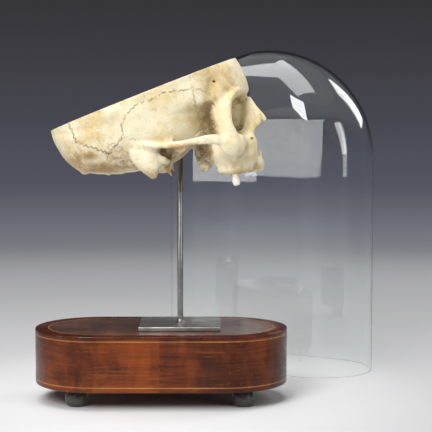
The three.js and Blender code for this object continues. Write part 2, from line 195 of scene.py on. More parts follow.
@dataclass(frozen=True)
class Levels:
    """A closed form of level egg-shaped outlines.

    Each row holds z, back, front, half width, middle and squareness.
    """

    rows: Sequence[Point]
    fine: tuple[int, int] = (96, 64)

    def lay(self, unit: np.ndarray) -> np.ndarray:
        """Lays a unit sphere's points on the levels.

        Args:
            unit: The sphere's points.

        Returns:
            Their places.
        """
        share = np.arccos(np.clip(-unit[:, 2], -1, 1)) / np.pi
        angle = np.arctan2(unit[:, 1], unit[:, 0])
        z, back, front, half, middle, square = along(self.rows, share).T
        pole = (share > 1e-6) & (share < 1 - 1e-6)
        reach = np.where(np.cos(angle) > 0, front - middle, middle - back) * pole
        x = middle + reach * power(np.cos(angle), 2 / square)
        return np.stack([x, half * pole * power(np.sin(angle), 2 / square), z], axis=1)


def both(bar: Bar) -> list[Bar]:
    """A bar on the right and on the left."""
    return [bar.mirrored(sign) for _, sign in SIDES]


# ---------------------------------------------------------------- mesh tools
def made(name: str, bm: bmesh.types.BMesh) -> bpy.types.Object:
    """Turns a bmesh into an object of the scene.

    Args:
        name: The object's name.
        bm: The bmesh, which is freed.

    Returns:
        The new object.
    """
    mesh = bpy.data.meshes.new(name)
    bm.to_mesh(mesh)
    bm.free()
    thing = bpy.data.objects.new(name, mesh)
    bpy.context.scene.collection.objects.link(thing)
    return thing


def smoothed(thing: bpy.types.Object, angle: float) -> None:
    """Shades an object smooth but for its edges sharper than an angle, in degrees.

    Args:
        thing: The object.
        angle: The angle in degrees.
    """
    mesh = thing.data
    mesh.polygons.foreach_set("use_smooth", np.ones(len(mesh.polygons), bool))
    mesh.set_sharp_from_angle(angle=math.radians(angle))


def dropped(thing: bpy.types.Object) -> None:
    """Removes an object that was only a tool."""
    mesh = thing.data
    bpy.data.objects.remove(thing)
    bpy.data.meshes.remove(mesh)


def lump(name: str, forms: Iterable[Form]) -> bpy.types.Object:
    """Makes one object of several closed forms that may run into each other.

    Args:
        name: The object's name.
        forms: The forms.

    Returns:
        The object.
    """
    bm = bmesh.new()
    for form in forms:
        columns, rows = form.fine
        ball = bmesh.new()
        bmesh.ops.create_uvsphere(ball, u_segments=columns, v_segments=rows, radius=1.0)
        for vert, place in zip(ball.verts, form.lay(np.array([vert.co for vert in ball.verts]))):
            vert.co = place
        bmesh.ops.recalc_face_normals(ball, faces=ball.faces)
        mesh = bpy.data.meshes.new(name)
        ball.to_mesh(mesh)
        ball.free()
        bm.from_mesh(mesh)
        bpy.data.meshes.remove(mesh)
    return made(name, bm)


def applied(thing: bpy.types.Object, kind: str, **settings: object) -> bpy.types.Object:
    """Gives an object a modifier's result for its mesh.

    Args:
        thing: The object.
        kind: The modifier's type.
        **settings: The modifier's values.

    Returns:
        The same object.
    """
    modifier = thing.modifiers.new(kind.lower(), kind)
    for key, value in settings.items():
        setattr(modifier, key, value)
    graph = bpy.context.evaluated_depsgraph_get()
    old, new = thing.data, bpy.data.meshes.new_from_object(thing.evaluated_get(graph))
    thing.modifiers.clear()
    thing.data = new
    bpy.data.meshes.remove(old)
    return thing


def filleted(thing: bpy.types.Object, radius: float, voxel: float) -> bpy.types.Object:
    """Joins a lump's forms into one skin and fills its inner corners to a radius.

    Args:
        thing: The lump.
        radius: The corners' radius.
        voxel: How fine the skin is.

    Returns:
        The same object.
    """
    applied(thing, "REMESH", mode="VOXEL", voxel_size=voxel)
    applied(thing, "DISPLACE", strength=radius, mid_level=0.0)
    applied(thing, "REMESH", mode="VOXEL", voxel_size=voxel)
    applied(thing, "DISPLACE", strength=-radius, mid_level=0.0)
    return applied(thing, "REMESH", mode="VOXEL", voxel_size=voxel)


def cut(thing: bpy.types.Object, tool: bpy.types.Object, how: str) -> bpy.types.Object:
    """Cuts, keeps or joins an object by a tool, which stays."""
    return applied(thing, "BOOLEAN", operation=how, object=tool, solver="MANIFOLD")


def points_of(mesh: bpy.types.Mesh) -> np.ndarray:
    """A mesh's points as rows.

    Args:
        mesh: The mesh.

    Returns:
        Three numbers for each point.
    """
    flat = np.empty(len(mesh.vertices) * 3)
    mesh.vertices.foreach_get("co", flat)
    return flat.reshape(-1, 3)


def normals_of(mesh: bpy.types.Mesh) -> np.ndarray:
    """A mesh's point normals as rows.

    Args:
        mesh: The mesh.

    Returns:
        Three numbers for each point.
    """
    flat = np.empty(len(mesh.vertices) * 3)
    mesh.vertex_normals.foreach_get("vector", flat)
    return flat.reshape(-1, 3)


def edges_of(mesh: bpy.types.Mesh) -> np.ndarray:
    """A mesh's edges as pairs of point numbers.

    Args:
        mesh: The mesh.

    Returns:
        Two numbers for each edge.
    """
    flat = np.empty(len(mesh.edges) * 2, np.int64)
    mesh.edges.foreach_get("vertices", flat)
    return flat.reshape(-1, 2)


def set_points(mesh: bpy.types.Mesh, points: np.ndarray) -> None:
    """Moves a mesh's points."""
    mesh.vertices.foreach_set("co", points.ravel())
    mesh.update()


def neighbours_mean(values: np.ndarray, edges: np.ndarray) -> np.ndarray:
    """Each point's mean of its neighbours' values.

    Args:
        values: One row for each point.
        edges: The mesh's edges.

    Returns:
        One row for each point.
    """
    count = len(values)
    degree = np.maximum(np.bincount(edges.ravel(), minlength=count), 1)
    columns = values.reshape(count, -1).T
    one, other = edges.T
    total = [
        np.bincount(one, column[other], count) + np.bincount(other, column[one], count)
        for column in columns
    ]
    return (np.stack(total, axis=1) / degree[:, None]).reshape(values.shape)


def relaxed(
    points: np.ndarray, edges: np.ndarray, rounds: int, share: float = 0.5, back: float = -0.53,
) -> np.ndarray:
    """Smooths points over their neighbours without shrinking the whole.

    Args:
        points: The points.
        edges: The mesh's edges.
        rounds: How often to smooth.
        share: How far each point goes towards its neighbours' middle.
        back: How far it comes back in the second half of each round.

    Returns:
        The smoothed points.
    """
    for _ in range(rounds):
        for step in (share, back):
            points = points + step * (neighbours_mean(points, edges) - points)
    return points


def nearness(flat: np.ndarray, line: Sequence[Point]) -> np.ndarray:
    """The distance of points of a plane to a bent line of it.

    Args:
        flat: The points, two numbers each.
        line: The line's corners.

    Returns:
        One distance for each point.
    """
    best = np.full(len(flat), 1e9)
    for a, b in zip(np.asarray(line[:-1], float), np.asarray(line[1:], float)):
        run = b - a
        share = np.clip((flat - a) @ run / max(run @ run, 1e-9), 0.0, 1.0)
        best = np.minimum(best, np.linalg.norm(flat - a - share[:, None] * run, axis=1))
    return best


def fading(flat: np.ndarray, line: Sequence[Point], width: float) -> np.ndarray:
    """A value that is 1 on a bent line and fades out over a width beside it."""
    return np.exp(-((nearness(flat, line) / width) ** 2))


# ---------------------------------------------------------------- the forms
@dataclass(frozen=True)
class BoneForms:
    """The forms that the skull's bone is grown from, and the hollows that are carved out of it."""

    braincase: Levels = Levels((
        (-17, -26, 0, 5, -14, 2.0), (-14, -40, 10, 22, -18, 2.2), (-11, -56, 16, 37, -20, 2.3),
        (-7.5, -70, 22, 47, -20, 2.3), (-3, -77.5, 28, 52, -20, 2.4), (3, -82.5, 38, 56.5, -18, 2.6),
        (12, -87.3, 46, 60.5, -16, 2.8), (22, -90.5, 52, 63, -16, 2.8), (27, -91.6, 60, 64, -17, 2.6),
        (31, -92.1, 81, 65, -18, 2.35), (38, -92.3, 83.5, 66.5, -18, 2.3), (50, -91.3, 82, 67.8, -18, 2.3),
        (63, -88.5, 78, 68, -18, 2.3), (80, -80, 68, 62, -16, 2.3),
    ))
    cavity: Levels = Levels((
        (11, -70, -6, 32, -34, 2.3), (14, -80, 20, 50, -20, 2.5), (20, -84.5, 38, 56, -18, 2.7),
        (27, -86, 42, 58.5, -18, 2.7), (32, -86.4, 48, 60, -18, 2.5), (35, -86.5, 68, 60.6, -18, 2.4),
        (38, -86.5, 75, 61, -18, 2.35), (50, -85.5, 75, 62, -18, 2.3), (63, -83, 71.5, 62, -18, 2.3),
        (84, -75, 62, 57, -16, 2.3),
    ))
    hind_fossa: Levels = Levels((
        (-10.5, -44, -20, 12, -30, 2.2), (-8, -58, -8, 30, -30, 2.3), (-4, -68, -3, 40, -30, 2.4),
        (3, -77, 0, 46, -32, 2.4), (10, -81, 3, 49, -32, 2.4), (18, -83, 3, 53, -32, 2.4),
        (28, -84, 3, 55, -32, 2.4),
    ), (64, 40))

    def base(self) -> list[Bar]:
        """The middle of the skull's base, from the great foramen to the eye sockets.

        Returns:
            Its bars.
        """
        wing = ((24, 11, 14), (29, 12, 24), (44, 26, 31), (50, 42, 33))
        return [
            Bar(((-1, 0, -14), (10, 0, -7), (22, 0, 2), (38, 0, 9)), (11, 12, 13, 14), (4, 6, 8, 9)),
            *both(Bar(((-14, 16, -12), (-5, 15, -17), (4, 10.5, -17)), (5,), (4.5,))),
            *both(Bar(((-6, 45, -2), (4, 32, -3), (17, 13, -2)), (8, 7, 5), (9, 8, 7))),
            Bar(((-66, -32, -4), (-71, 0, -5.5), (-66, 32, -4)), (4,), (3.6,), (1, 0, 0)),
            *both(Bar(((34, 18, 4), (33, 22, -12), (32, 26, -28)), (7, 8, 5.5), (1.3,), (1, 0, 0), blunt=4)),
            *both(Bar(((37, 11, 4), (37, 13, -12), (36, 13.5, -27)), (6, 5, 3), (1.3,), (1, 0, 0), blunt=4)),
            *both(Bar(((39, 13, 2), (39, 16.5, -12), (38, 19, -22)), (3, 4.5, 4), (2.2,), blunt=4)),
            Bar(((13, 0, 10), (12.5, 0, 15.5)), (9,), (2.2,), blunt=4),
            *both(Bar(wing, (2.4,), (3.4, 4, 3, 2.4), (0, 0, 1))),
            Bar(((70, 0, 33), (62, 0, 38)), (1.6,), (4.5,)),
            Bar(((75.5, 0, 34), (76.5, 0, 56)), (1.5,), (3,)),
        ]

    def ear(self) -> list[Bar]:
        """The mastoid, the ear's ring and the styloid.

        Returns:
            Its bars.
        """
        mastoid = ((-20, 53, 14), (-15.5, 54, 0), (-12, 52.5, -12), (-10.5, 50, -23.4))
        crest = ((-30, 57, 12), (-16, 59.5, 8), (-4, 60, 4), (8, 61, 2.5))
        return [
            *both(Bar(mastoid, (15, 12, 9, 3.8), (7, 7.5, 7, 4), (1, 0, 0), blunt=3)),
            *both(Bar(((1, 38, -8), (1, 54, -7)), (7, 6), (8, 7), (1, 0, 0), blunt=4)),
            *both(Bar(((0, 42, -9), (2, 41, -19), (4.5, 39.5, -27)), (4, 2.2, 1), (4, 2.2, 1), (1, 0, 0))),
            *both(Bar(crest, (2, 2.6, 2.8, 3), (2, 2.4, 3, 3.4), (0, 0, 1))),
            *both(Bar(((-14, 40, -12), (-4, 27, -13), (8, 22, -9)), (4, 5, 5), (5,), blunt=3)),
        ]

    def arches(self) -> list[Bar]:
        """The cheek arches and the jaw joint's tubercles.

        Returns:
            Its bars.
        """
        path = ((52, 54, -3), (44, 57.5, -0.8), (32, 61, 0.6), (20, 62, 1), (8, 60.5, 2), (-6, 57, 3))
        high, thick = (7, 5.2, 3.4, 2.8, 3.2, 3), (2.6, 2.3, 2, 2.2, 4, 4)
        return [
            *both(Bar(path, high, thick, (0, 0, 1), 2.4, fine=(20, 40))),
            *both(Bar(((16, 40, -1), (16, 52, -3), (15, 62, -1)), (5, 4.5, 3.5), (3, 3.4, 3), (1, 0, 0))),
        ]

    def brows_and_cheeks(self) -> list[Bar]:
        """The eye sockets' rims and outer walls, and the cheek bones.

        Returns:
            Its bars.
        """
        brow = ((78, 0, 32), (75.5, 16, 34.5), (69.5, 33, 34), (63.5, 45.5, 29.5), (60.5, 49.5, 20))
        cheek = ((69, 33, -4), (64, 42, -8), (57, 49, -8), (48, 54.5, -3))
        rim = ((62, 48, -6), (59.5, 49.5, 8), (60, 49.5, 18), (61, 49, 26))
        high = (5, 4.6, 4.4, 3.4, 3)
        outer_wall = ((60, 50, 12), (52, 45.5, 13), (41, 33, 15))
        return [
            *both(Bar(brow, (4.5, 5.5, 5.5, 5, 4.5), high, (1, 0, 0.3), blunt=4, fine=(20, 32))),
            *both(Bar(cheek, (5, 11, 10, 4.5), (5, 6, 4.5, 2.6), (0, 0, 1), blunt=4, fine=(28, 28))),
            *both(Bar(rim, (6, 5, 5, 5.5), (3.5, 3, 3.2, 3.4), (1, 0, 0), blunt=4, fine=(20, 28))),
            *both(Bar(outer_wall, (13, 15, 14), (3,), (0, 0, 1), 3, 5, (28, 24))),
        ]

    def upper_jaw(self) -> list[Bar]:
        """The upper jaw with its arch, palate and spine under the nose.

        Returns:
            Its bars.
        """
        arch = [(43, 26, -26), (54, 27, -28), (66, 22.5, -29), (75, 13, -30.5)]
        row = [(x, -y, z) for x, y, z in arch] + [(78, 0, -31)] + arch[::-1]
        body = ((41, 22, -13), (55, 23.5, -14), (67, 20.5, -15), (76, 12.5, -16))
        crest = ((63, 38, -7), (59, 36.5, -15), (56, 30, -24))
        palate = ((40, 0, -20), (60, 0, -22), (77, 0, -24.5))
        return [
            *both(Bar(body, (10, 12, 12.5, 10.5), (14, 16, 16.5, 14.5), square=2.8, blunt=4, fine=(32, 28))),
            *both(Bar(crest, (5, 4.6, 4.2), (5, 4, 4), (1, 0, 0), fine=(20, 20))),
            Bar(row, (6.6,), (5.5,), (0, 0, 1), 2.6, 8, (24, 72)),
            Bar(palate, (20, 21, 14), (1.9,), square=3, blunt=5, fine=(32, 28)),
            Bar(((72, 0, -25), (80, 0, -23), (85, 0, -20)), (6, 3, 1), (5, 3, 1)),
        ]

    def nose_root(self) -> list[Bar]:
        """The bone between the eyes and beside the nose.

        Returns:
            Its bars.
        """
        beside = ((71, 19, -10), (77, 14, 2), (80, 9, 13), (79, 7, 27))
        bridge = ((79, 6.5, 28), (82.5, 7.5, 18), (86, 9.5, 9), (83.5, 12.5, 0))
        return [
            Bar(((36, 0, 12), (60, 0, 13), (76, 0, 14)), (11.5, 11.5, 9), (13,), square=3, blunt=5),
            Bar(((72, 0, 38), (77, 0, 27), (79, 0, 18)), (12, 9.5, 8), (7, 4.5, 3), blunt=4),
            *both(Bar(beside, (7, 4, 3.2, 3.4), (6, 5.5, 5.5, 4), blunt=4, fine=(20, 28))),
            *both(Bar(bridge, (2.6, 3, 3, 2.4), (4, 4.5, 4, 3))),
        ]

    def hollows(self) -> list[Form]:
        """The braincase, the great foramen, the eye sockets, the nose, the ear holes and the jaw joints.

        Returns:
            The forms to carve out.
        """
        socket = ((41, 12, 17), (52, 20, 15), (64, 28, 13.5), (84, 39, 12))
        airway = ((28, 0, -10), (60, 0, -12), (96, 0, -11.5))
        return [
            self.cavity,
            self.hind_fossa,
            *both(Bar(((0, 44, 15), (20, 38.5, 15), (38, 29, 14)), (10, 11, 10), (12,), fine=(28, 24))),
            Bar(((-18, 0, -30), (-18, 0, 8)), (17.5,), (14.5,), (1, 0, 0), blunt=8, fine=(40, 16)),
            *both(Bar(socket, (4, 12, 18, 21), (4, 11.5, 16, 18), (-0.5, 0.87, 0), 2.4, 7, (48, 32))),
            Bar(airway, (11, 11.5, 12.5), (8, 8.5, 9), square=2.6, blunt=8, fine=(32, 20)),
            Bar(((48, 0, -2), (98, 0, -1)), (7,), (8,), blunt=8, fine=(28, 16)),
            *both(Bar(((-0.3, 80, -1.5), (2, 40, -3)), (3.2,), (3.6,), (1, 0, 0), blunt=8, fine=(20, 12))),
            *both(Bar(((7, 40, -5), (7, 57, -5)), (5,), (6,), (1, 0, 0))),
            Bar(((18, 0, 14), (22, 0, 13), (26, 0, 15)), (7,), (3.5,)),
        ]

    def small_holes(self) -> list[Bar]:
        """The holes for nerves and vessels, and the drilled hole in the brow.

        Returns:
            The bars to cut out.
        """
        round_hole = {"blunt": 8, "fine": (12, 8)}
        under_socket = ((50, 21, -4), (66, 25.5, -5), (80, 27, -9))
        return [
            *both(Bar(((55.1, -62, 46.2), (55.1, -45.4, 46.2)), (1.0,), (1.0,), (1, 0, 0), **round_hole)),
            *both(Bar(under_socket, (1.3, 1.7, 2), (1.3, 1.6, 1.8), **round_hole)),
            *both(Bar(((16, 22, -12), (17, 23, 6)), (2, 2), (3, 3), (0.6, 0.8, 0), **round_hole)),
            *both(Bar(((-2, 25, -22), (1, 27, -6)), (3.4, 2.4), (5.5, 4), (0.4, 0.9, 0), **round_hole)),
            *both(Bar(((7, 30, -18), (8, 29, -6)), (2.8,), (2.8,), (1, 0, 0), **round_hole)),
            *both(Bar(((-12, 22, -16), (2, 12, -4)), (2,), (2,), (0, 0, 1), **round_hole)),
            *both(Bar(((26, 7, 16), (48, 14, 17)), (2.4,), (2.4,), (0, 0, 1), **round_hole)),
            *both(Bar(((34, 16, 4), (48, 24, 12)), (1.6,), (5,), (0.3, 0.3, 0.9), **round_hole)),
            *both(Bar(((50, 31, 0), (64, 36, -5)), (5, 2.5), (1.1,), (1, -0.4, 0), **round_hole)),
            *both(Bar(((66, 49, -4), (58, 58, -4)), (0.8,), (0.8,), (0, 0, 1), **round_hole)),
            Bar(((72, 0, -14), (76, 0, -34)), (1.6,), (2.2,), **round_hole),
        ]

    def tooth_sockets(self) -> list[Bar]:
        """The empty sockets along the upper jaw, deep at the front and worn shallow at the back.

        Returns:
            The bars to cut out.
        """
        arch = [(43, 26), (54, 27), (66, 22.5), (75, 13), (78, 0)]
        left = ((0.95, 2.3, 7), (0.84, 1.9, 6), (0.735, 2.5, 8), (0.62, 2.1, 6), (0.35, 3.2, 2.4))
        sockets = []
        for share, size, depth in left:
            x, y = along(arch, np.array([share]))[0]
            path = ((x - 1.5, y * 0.97, -39 + depth), (x, y, -42))
            sockets += both(Bar(path, (size * 0.5, size), (size * 0.6, size * 1.1), (1, 0, 0), fine=(16, 12)))
        return sockets


@dataclass(frozen=True)
class LooseForms:
    """The thin bones in the nose and the one tooth left, each a form of its own."""

    nasal: Bar = Bar(
        ((81, 2.6, 27.5), (84.5, 3, 18), (89.2, 3.6, 9.5), (92.2, 3.8, 4.8)),
        (3.4, 4, 5.2, 4.6), (2.6, 2.3, 1.9, 1.1), (-0.42, 0.9, -0.1), blunt=5, fine=(32, 40),
    )
    vomer: Bar = Bar(
        ((39, 0, -6), (55, 0, -5), (72, 0, -10)), (11, 15, 10), (0.8,), (0, 0, 1), blunt=5, fine=(40, 40),
    )
    tooth: Bar = Bar(
        ((56.5, -26, -27), (56.5, -26, -36), (56.3, -26.2, -40), (56.2, -26.3, -44.5)),
        (1.8, 2.8, 3.4, 3.0), (2.2, 3.5, 4.1, 3.6), (1, 0, 0), 2.4, 6, (40, 40),
    )


# ---------------------------------------------------------------- sculpting
@dataclass(frozen=True)
class Stroke:
    """A ridge or furrow along a bent line of the bone, on its outer or its inner face."""

    line: Sequence[Point]
    width: float
    lift: float
    outer: bool = True
    paired: bool = True

    def lifts(self, points: np.ndarray, facing: np.ndarray) -> np.ndarray:
        """How far to move each point along its normal.

        Args:
            points: The points.
            facing: Above 0 where a point's normal looks away from the skull's middle.

        Returns:
            One distance for each point.
        """
        seen = points.copy()
        if self.paired:
            seen[:, 1] = -np.abs(seen[:, 1])
        towards = np.clip(facing * (3.0 if self.outer else -3.0) + 0.5, 0.0, 1.0)
        return self.lift * fading(seen, self.line, self.width) * towards


@dataclass(frozen=True)
class SurfaceMarks:
    """The lines, hollows and roughness worked into the bone's skin."""

    ridges: tuple[Stroke, ...] = (
        Stroke((
            (63, -47, 24), (68, -37, 32), (68, -40, 36), (65, -44.5, 42), (62, -47, 50), (58.5, -49, 60),
        ), 2.4, 1.5),
        Stroke(((48, -56, 58), (20, -64, 52), (-12, -67, 46), (-40, -64, 36)), 3.0, 0.5),
        Stroke(((-71, 0, -5), (-64, -32, -2), (-52, -46, 3), (-38, -52, 4), (-26, -55, 5)), 2.4, 1.0),
        Stroke(((-70, 0, -6), (-56, 0, -11), (-40, 0, -14)), 1.8, 1.3),
        Stroke(((-52, 0, -12), (-48, -18, -11), (-36, -33, -10), (-27, -42, -8)), 2.0, 1.0),
        Stroke(((-12, -48, -20), (-20, -50, -8), (-22, -55, 4)), 3.0, 0.6),
        Stroke(((66, -41, -6), (59, -52, -7), (48, -56, -4)), 3.0, 0.7),
        Stroke(((-74, 0, -3), (-77, 0, 2)), 5.0, 1.2),
    )
    furrows: tuple[Stroke, ...] = (
        Stroke(((47, -50, 24), (50, -52, 34), (53, -52, 46)), 6.0, -2.2),
        Stroke(((42, -38, 2), (44, -46, 12), (44, -50, 22)), 6.0, -2.6),
        Stroke(((64, -27, -17), (62, -30, -21)), 6.0, -2.2),
        Stroke(((-8, -46, -17), (-17, -44, -11), (-24, -44, -8)), 1.8, -2.4),
        Stroke(((-64, -18, -9), (-52, -24, -12)), 9.0, -0.8),
        Stroke(((-58, -36, -3), (-40, -42, -6)), 6.0, -1.0),
        Stroke(((20, -62, -2), (32, -62, -1)), 1.6, -0.4),
        Stroke(((2, -57, 3), (-6, -57, 1), (-9, -56, -6)), 1.4, -1.0),
    )
    inner: tuple[Stroke, ...] = (
        Stroke(((22, -38, 14), (14, -52, 24), (2, -59, 36), (-10, -61, 50)), 1.1, -0.9, outer=False),
        Stroke(((14, -52, 24), (-8, -56, 28), (-34, -58, 34), (-52, -54, 42)), 1.0, -0.8, outer=False),
        Stroke(((26, -36, 16), (34, -46, 30), (36, -52, 48)), 1.0, -0.8, outer=False),
        Stroke((
            (-80, -3, 12), (-70, -34, 12), (-46, -52, 12), (-26, -50, 8), (-14, -42, 0), (-8, -30, -8),
        ), 3.4, -1.6, outer=False),
        Stroke(((-84, 0, 44), (-86, 0, 24), (-80, 0, 8), (-52, 0, -8)), 2.6, 1.6, outer=False),
        Stroke(((40, -20, 31), (52, -22, 34), (62, -18, 36)), 4.0, 1.0, outer=False),
        Stroke(((46, -36, 34), (58, -32, 37)), 4.0, 1.0, outer=False),
    )
    rough: tuple[tuple[Sequence[Point], float], ...] = (
        (((-12, 0, -16), (-20, 0, -2)), 13.0), (((-70, 0, -2), (-40, 0, -9)), 8.0),
    )
    socket_walls: tuple[float, ...] = (0.02, 0.14, 0.27, 0.4, 0.52, 0.63, 0.735, 0.84, 0.95)

    def root_ridges(self) -> list[Stroke]:
        """The upright swellings that the teeth's roots raise on the upper jaw.

        Returns:
            One stroke for each root.
        """
        arch = np.array(((43, -33), (54, -34.5), (66, -30), (76, -18), (81, -2)), float)
        places = [along(arch, np.array([share]))[0] for share in self.socket_walls]
        return [Stroke(((x - 1.5, y * 0.9, -27), (x, y, -37)), 2.0, 0.9) for x, y in places]

    def lines(self) -> list[Sequence[Point]]:
        """Fine lines without a parting: small bones set in the seams, and the seams beside them.

        Returns:
            Each line's corners, seen from the side.
        """
        ring = ((-42, 13.5), (-35, 11.8), (-31, 6.5), (-33, 0), (-40, 0.5), (-42, 6.4), (-42, 13.5))
        tail = ((-31, 6.5), (-27, 2), (-27.2, -1.3), (-31, -5), (-34.3, -2.1))
        ring_2 = ((-42, 6.4), (-36, 5.6), (-31, 6.5))
        occiput = ((-69.6, 30.5), (-68.2, 20.9), (-57, 13.9), (-52.9, 11.3), (-43.8, 5.3))
        temple = ((36.5, 43.4), (35.9, 29.9), (36.6, 17.3), (36.6, 11.7))
        brow = ((36.6, 44.6), (48, 38.8), (54, 29.5), (54.2, 24.9), (60.7, 23.5))
        mastoid = ((-43, 5.8), (-36, -2), (-30, -9), (-24, -14))
        edge = ((-43.1, 6), (-28.6, 16.4), (-16.1, 10.9), (-11.7, 4.8), (-5.5, 1.8))
        return [ring, tail, ring_2, occiput, temple, brow, mastoid, edge]


def wander(place: float) -> float:
    """A seam's wavering: an uneven wave between about -1 and 1.

    Args:
        place: How many waves along the seam.

    Returns:
        How far aside the seam lies.
    """
    row = 2.5
    swing = math.sin(2 * math.pi * place + 3.0 * noise.noise(Vector((place * 0.45, row, 0.0))))
    return 0.62 * swing + 0.9 * noise.noise(Vector((place * 1.7, row, 5.0)))


@dataclass(frozen=True)
class Run:
    """A stretch of a bone's edge, with how far it wavers and how long one wave is."""

    points: Sequence[Point]
    reach: float = 0.0
    wave: float = 4.0

    def back(self) -> "Run":
        """The same stretch the other way round."""
        return Run(tuple(self.points)[::-1], self.reach, self.wave)


FAR = 130.0
SQUAMOUS = Run((
    (-43.1, 5.8), (-31.9, 13.4), (-27.2, 19.6), (-27.5, 26.1), (-21.8, 34), (-9.7, 41.7), (3.3, 42.2),
    (13, 45.9), (28, 44),
), 0.8, 5.0)
CORONAL = Run(((36.1, 44), (36.6, 54), (38, FAR)), 1.1, 4.4)
LAMBDOID = Run(((-70, FAR), (-70.5, 34.8), (-68.2, 22.5), (-59.2, 15.4), (-52, 11.5), (-44.2, 6.6)), 1.2, 4.0)


@dataclass(frozen=True)
class Region:
    """The part of the skull that one bone takes: outlines cut right through, on one side or on both."""

    name: str
    cuts: tuple[tuple[Tilt, tuple[Run, ...]], ...]
    side: float = 0.0
    fine: float = 0.45

    def outline(self, runs: Sequence[Run], by: float) -> list[tuple[float, float]]:
        """An anticlockwise outline with its wavering, moved out by a distance.

        Args:
            runs: The outline's stretches.
            by: How far to move it out.

        Returns:
            The outline's corners.
        """
        corners = np.array([point for run in runs for point in run.points], float)
        waver = []
        for run in runs:
            waver += [(run.reach, run.wave)] * (len(run.points) - 1) + [(0.0, run.wave)]
        edges = np.roll(corners, -1, axis=0) - corners
        lengths = np.maximum(np.linalg.norm(edges, axis=1), 1e-6)
        normals = np.stack([edges[:, 1], -edges[:, 0]], axis=1) / lengths[:, None]
        before = np.roll(normals, 1, axis=0)
        spread = np.maximum(1 + np.sum(before * normals, axis=1), 0.5)
        moved = corners + (before + normals) * (by / spread)[:, None]
        points, travelled = [], 0.0
        for i, (reach, wave) in enumerate(waver):
            steps = max(1, int(min(lengths[i], 40.0) / self.fine)) if reach else 1
            for k in range(steps):
                share = k / steps
                base = moved[i] * (1 - share) + moved[(i + 1) % len(moved)] * share
                swing = reach * wander((travelled + share * lengths[i]) / wave) if reach else 0.0
                points.append(tuple(base + normals[i] * swing))
            travelled += lengths[i]
        return points

    def tool(self, by: float, gap: float) -> bpy.types.Object:
        """The region as a closed solid.

        Args:
            by: How far to grow it.
            gap: What is left free between the two sides of a paired bone.

        Returns:
            The solid.
        """
        solids = []
        for tilt, runs in self.cuts:
            bounds = (-FAR, FAR)
            if tilt is Tilt.SIDE and self.side:
                bounds = (gap / 2 - by, FAR) if self.side > 0 else (-FAR, by - gap / 2)
            points = self.outline(runs, by)
            side = self.side or 1.0
            near, deep = bounds[0], bounds[1] - bounds[0]
            laid, way = {
                Tilt.SIDE: ([(a, near, b) for a, b in points], (0, deep, 0)),
                Tilt.ABOVE: ([(a, side * b, near) for a, b in points], (0, 0, deep)),
                Tilt.FRONT: ([(near, side * a, b) for a, b in points], (deep, 0, 0)),
            }[tilt]
            bm = bmesh.new()
            face = bm.faces.new([bm.verts.new(corner) for corner in laid])
            new = bmesh.ops.extrude_face_region(bm, geom=[face])["geom"]
            moved = [item for item in new if isinstance(item, bmesh.types.BMVert)]
            bmesh.ops.translate(bm, verts=moved, vec=way)
            bmesh.ops.triangulate(bm, faces=bm.faces)
            bmesh.ops.recalc_face_normals(bm, faces=bm.faces)
            solids.append(made(self.name + "_region", bm))
        for other in solids[1:]:
            cut(solids[0], other, "INTERSECT")
            dropped(other)
        return solids[0]


def bone_regions() -> list[Region]:
    """The bones' regions in the order in which they are parted off.

    Returns:
        The regions, without the sphenoid's, which is what is left.
    """
    jaw = Run((
        (41, -50), (100, -50), (100, 24.5), (76, 25), (72, 12), (73, 3), (62, 1), (50, 2), (41, -3),
    ), 0.5, 4.0)
    brow = (Run(((100, 23.6), (100, FAR))), CORONAL.back(), Run(((46, 40), (54, 32), (57, 23.6)), 0.7, 4.0))
    wall = (SQUAMOUS, CORONAL, LAMBDOID)
    plate = Run(((42, 8), (36.7, 15), (36.1, 43.8)), 0.5, 6.0)
    squama = (SQUAMOUS.back(), Run(((-50, -6), (-40, -40), (12, -50), (30, -14), (42, -8))), plate)
    petrous = Run((
        (45, 48), (45, 90), (-60, 90), (-60, 60), (-44, 50), (-28, 40), (-12, 29), (-2, 21), (10, 9),
        (18, 11), (26, 26), (30, 38),
    ))
    malar = (
        Run(((36, 52), (49, 45.5), (52, 36), (56, 20), (84, 20), (84, 75))),
        Run(((41, 75), (36, 52)), 0.6, 3.5),
    )
    cheek = (
        Run(((80, -32), (80, 24.5), (43, 24.7)), 0.4, 3.0),
        Run(((42, 24.5), (41, 6), (33, 1), (31, -4), (34, -9), (39, -15), (43, -21)), 0.5, 4.0),
        Run(((50, -32),)),
    )
    back = (Run(((-FAR, -FAR), (12, -FAR), (12, FAR), (-FAR, FAR))),)
    cuts = {
        "zygomatic": ((Tilt.ABOVE, malar), (Tilt.FRONT, cheek)), "maxilla": ((Tilt.SIDE, (jaw,)),),
        "frontal": ((Tilt.SIDE, brow),), "parietal": ((Tilt.SIDE, wall),),
        "temporal": ((Tilt.SIDE, squama), (Tilt.ABOVE, (petrous,))), "occipital": ((Tilt.SIDE, back),),
    }
    regions = []
    for bone, outlines in cuts.items():
        if bone in ("frontal", "occipital"):
            regions.append(Region(f"bone_{bone}", outlines))
        else:
            regions += [Region(f"bone_{bone}_{name}", outlines, side) for name, side in SIDES]
    return regions


# ---------------------------------------------------------------- the skull
def outward(points: np.ndarray, normals: np.ndarray) -> np.ndarray:
    """How squarely each point's normal looks away from the middle of the braincase, from -1 to 1."""
    away = points - (-8.0, 0.0, 18.0)
    return np.sum(normals * away, axis=1) / np.linalg.norm(away, axis=1)


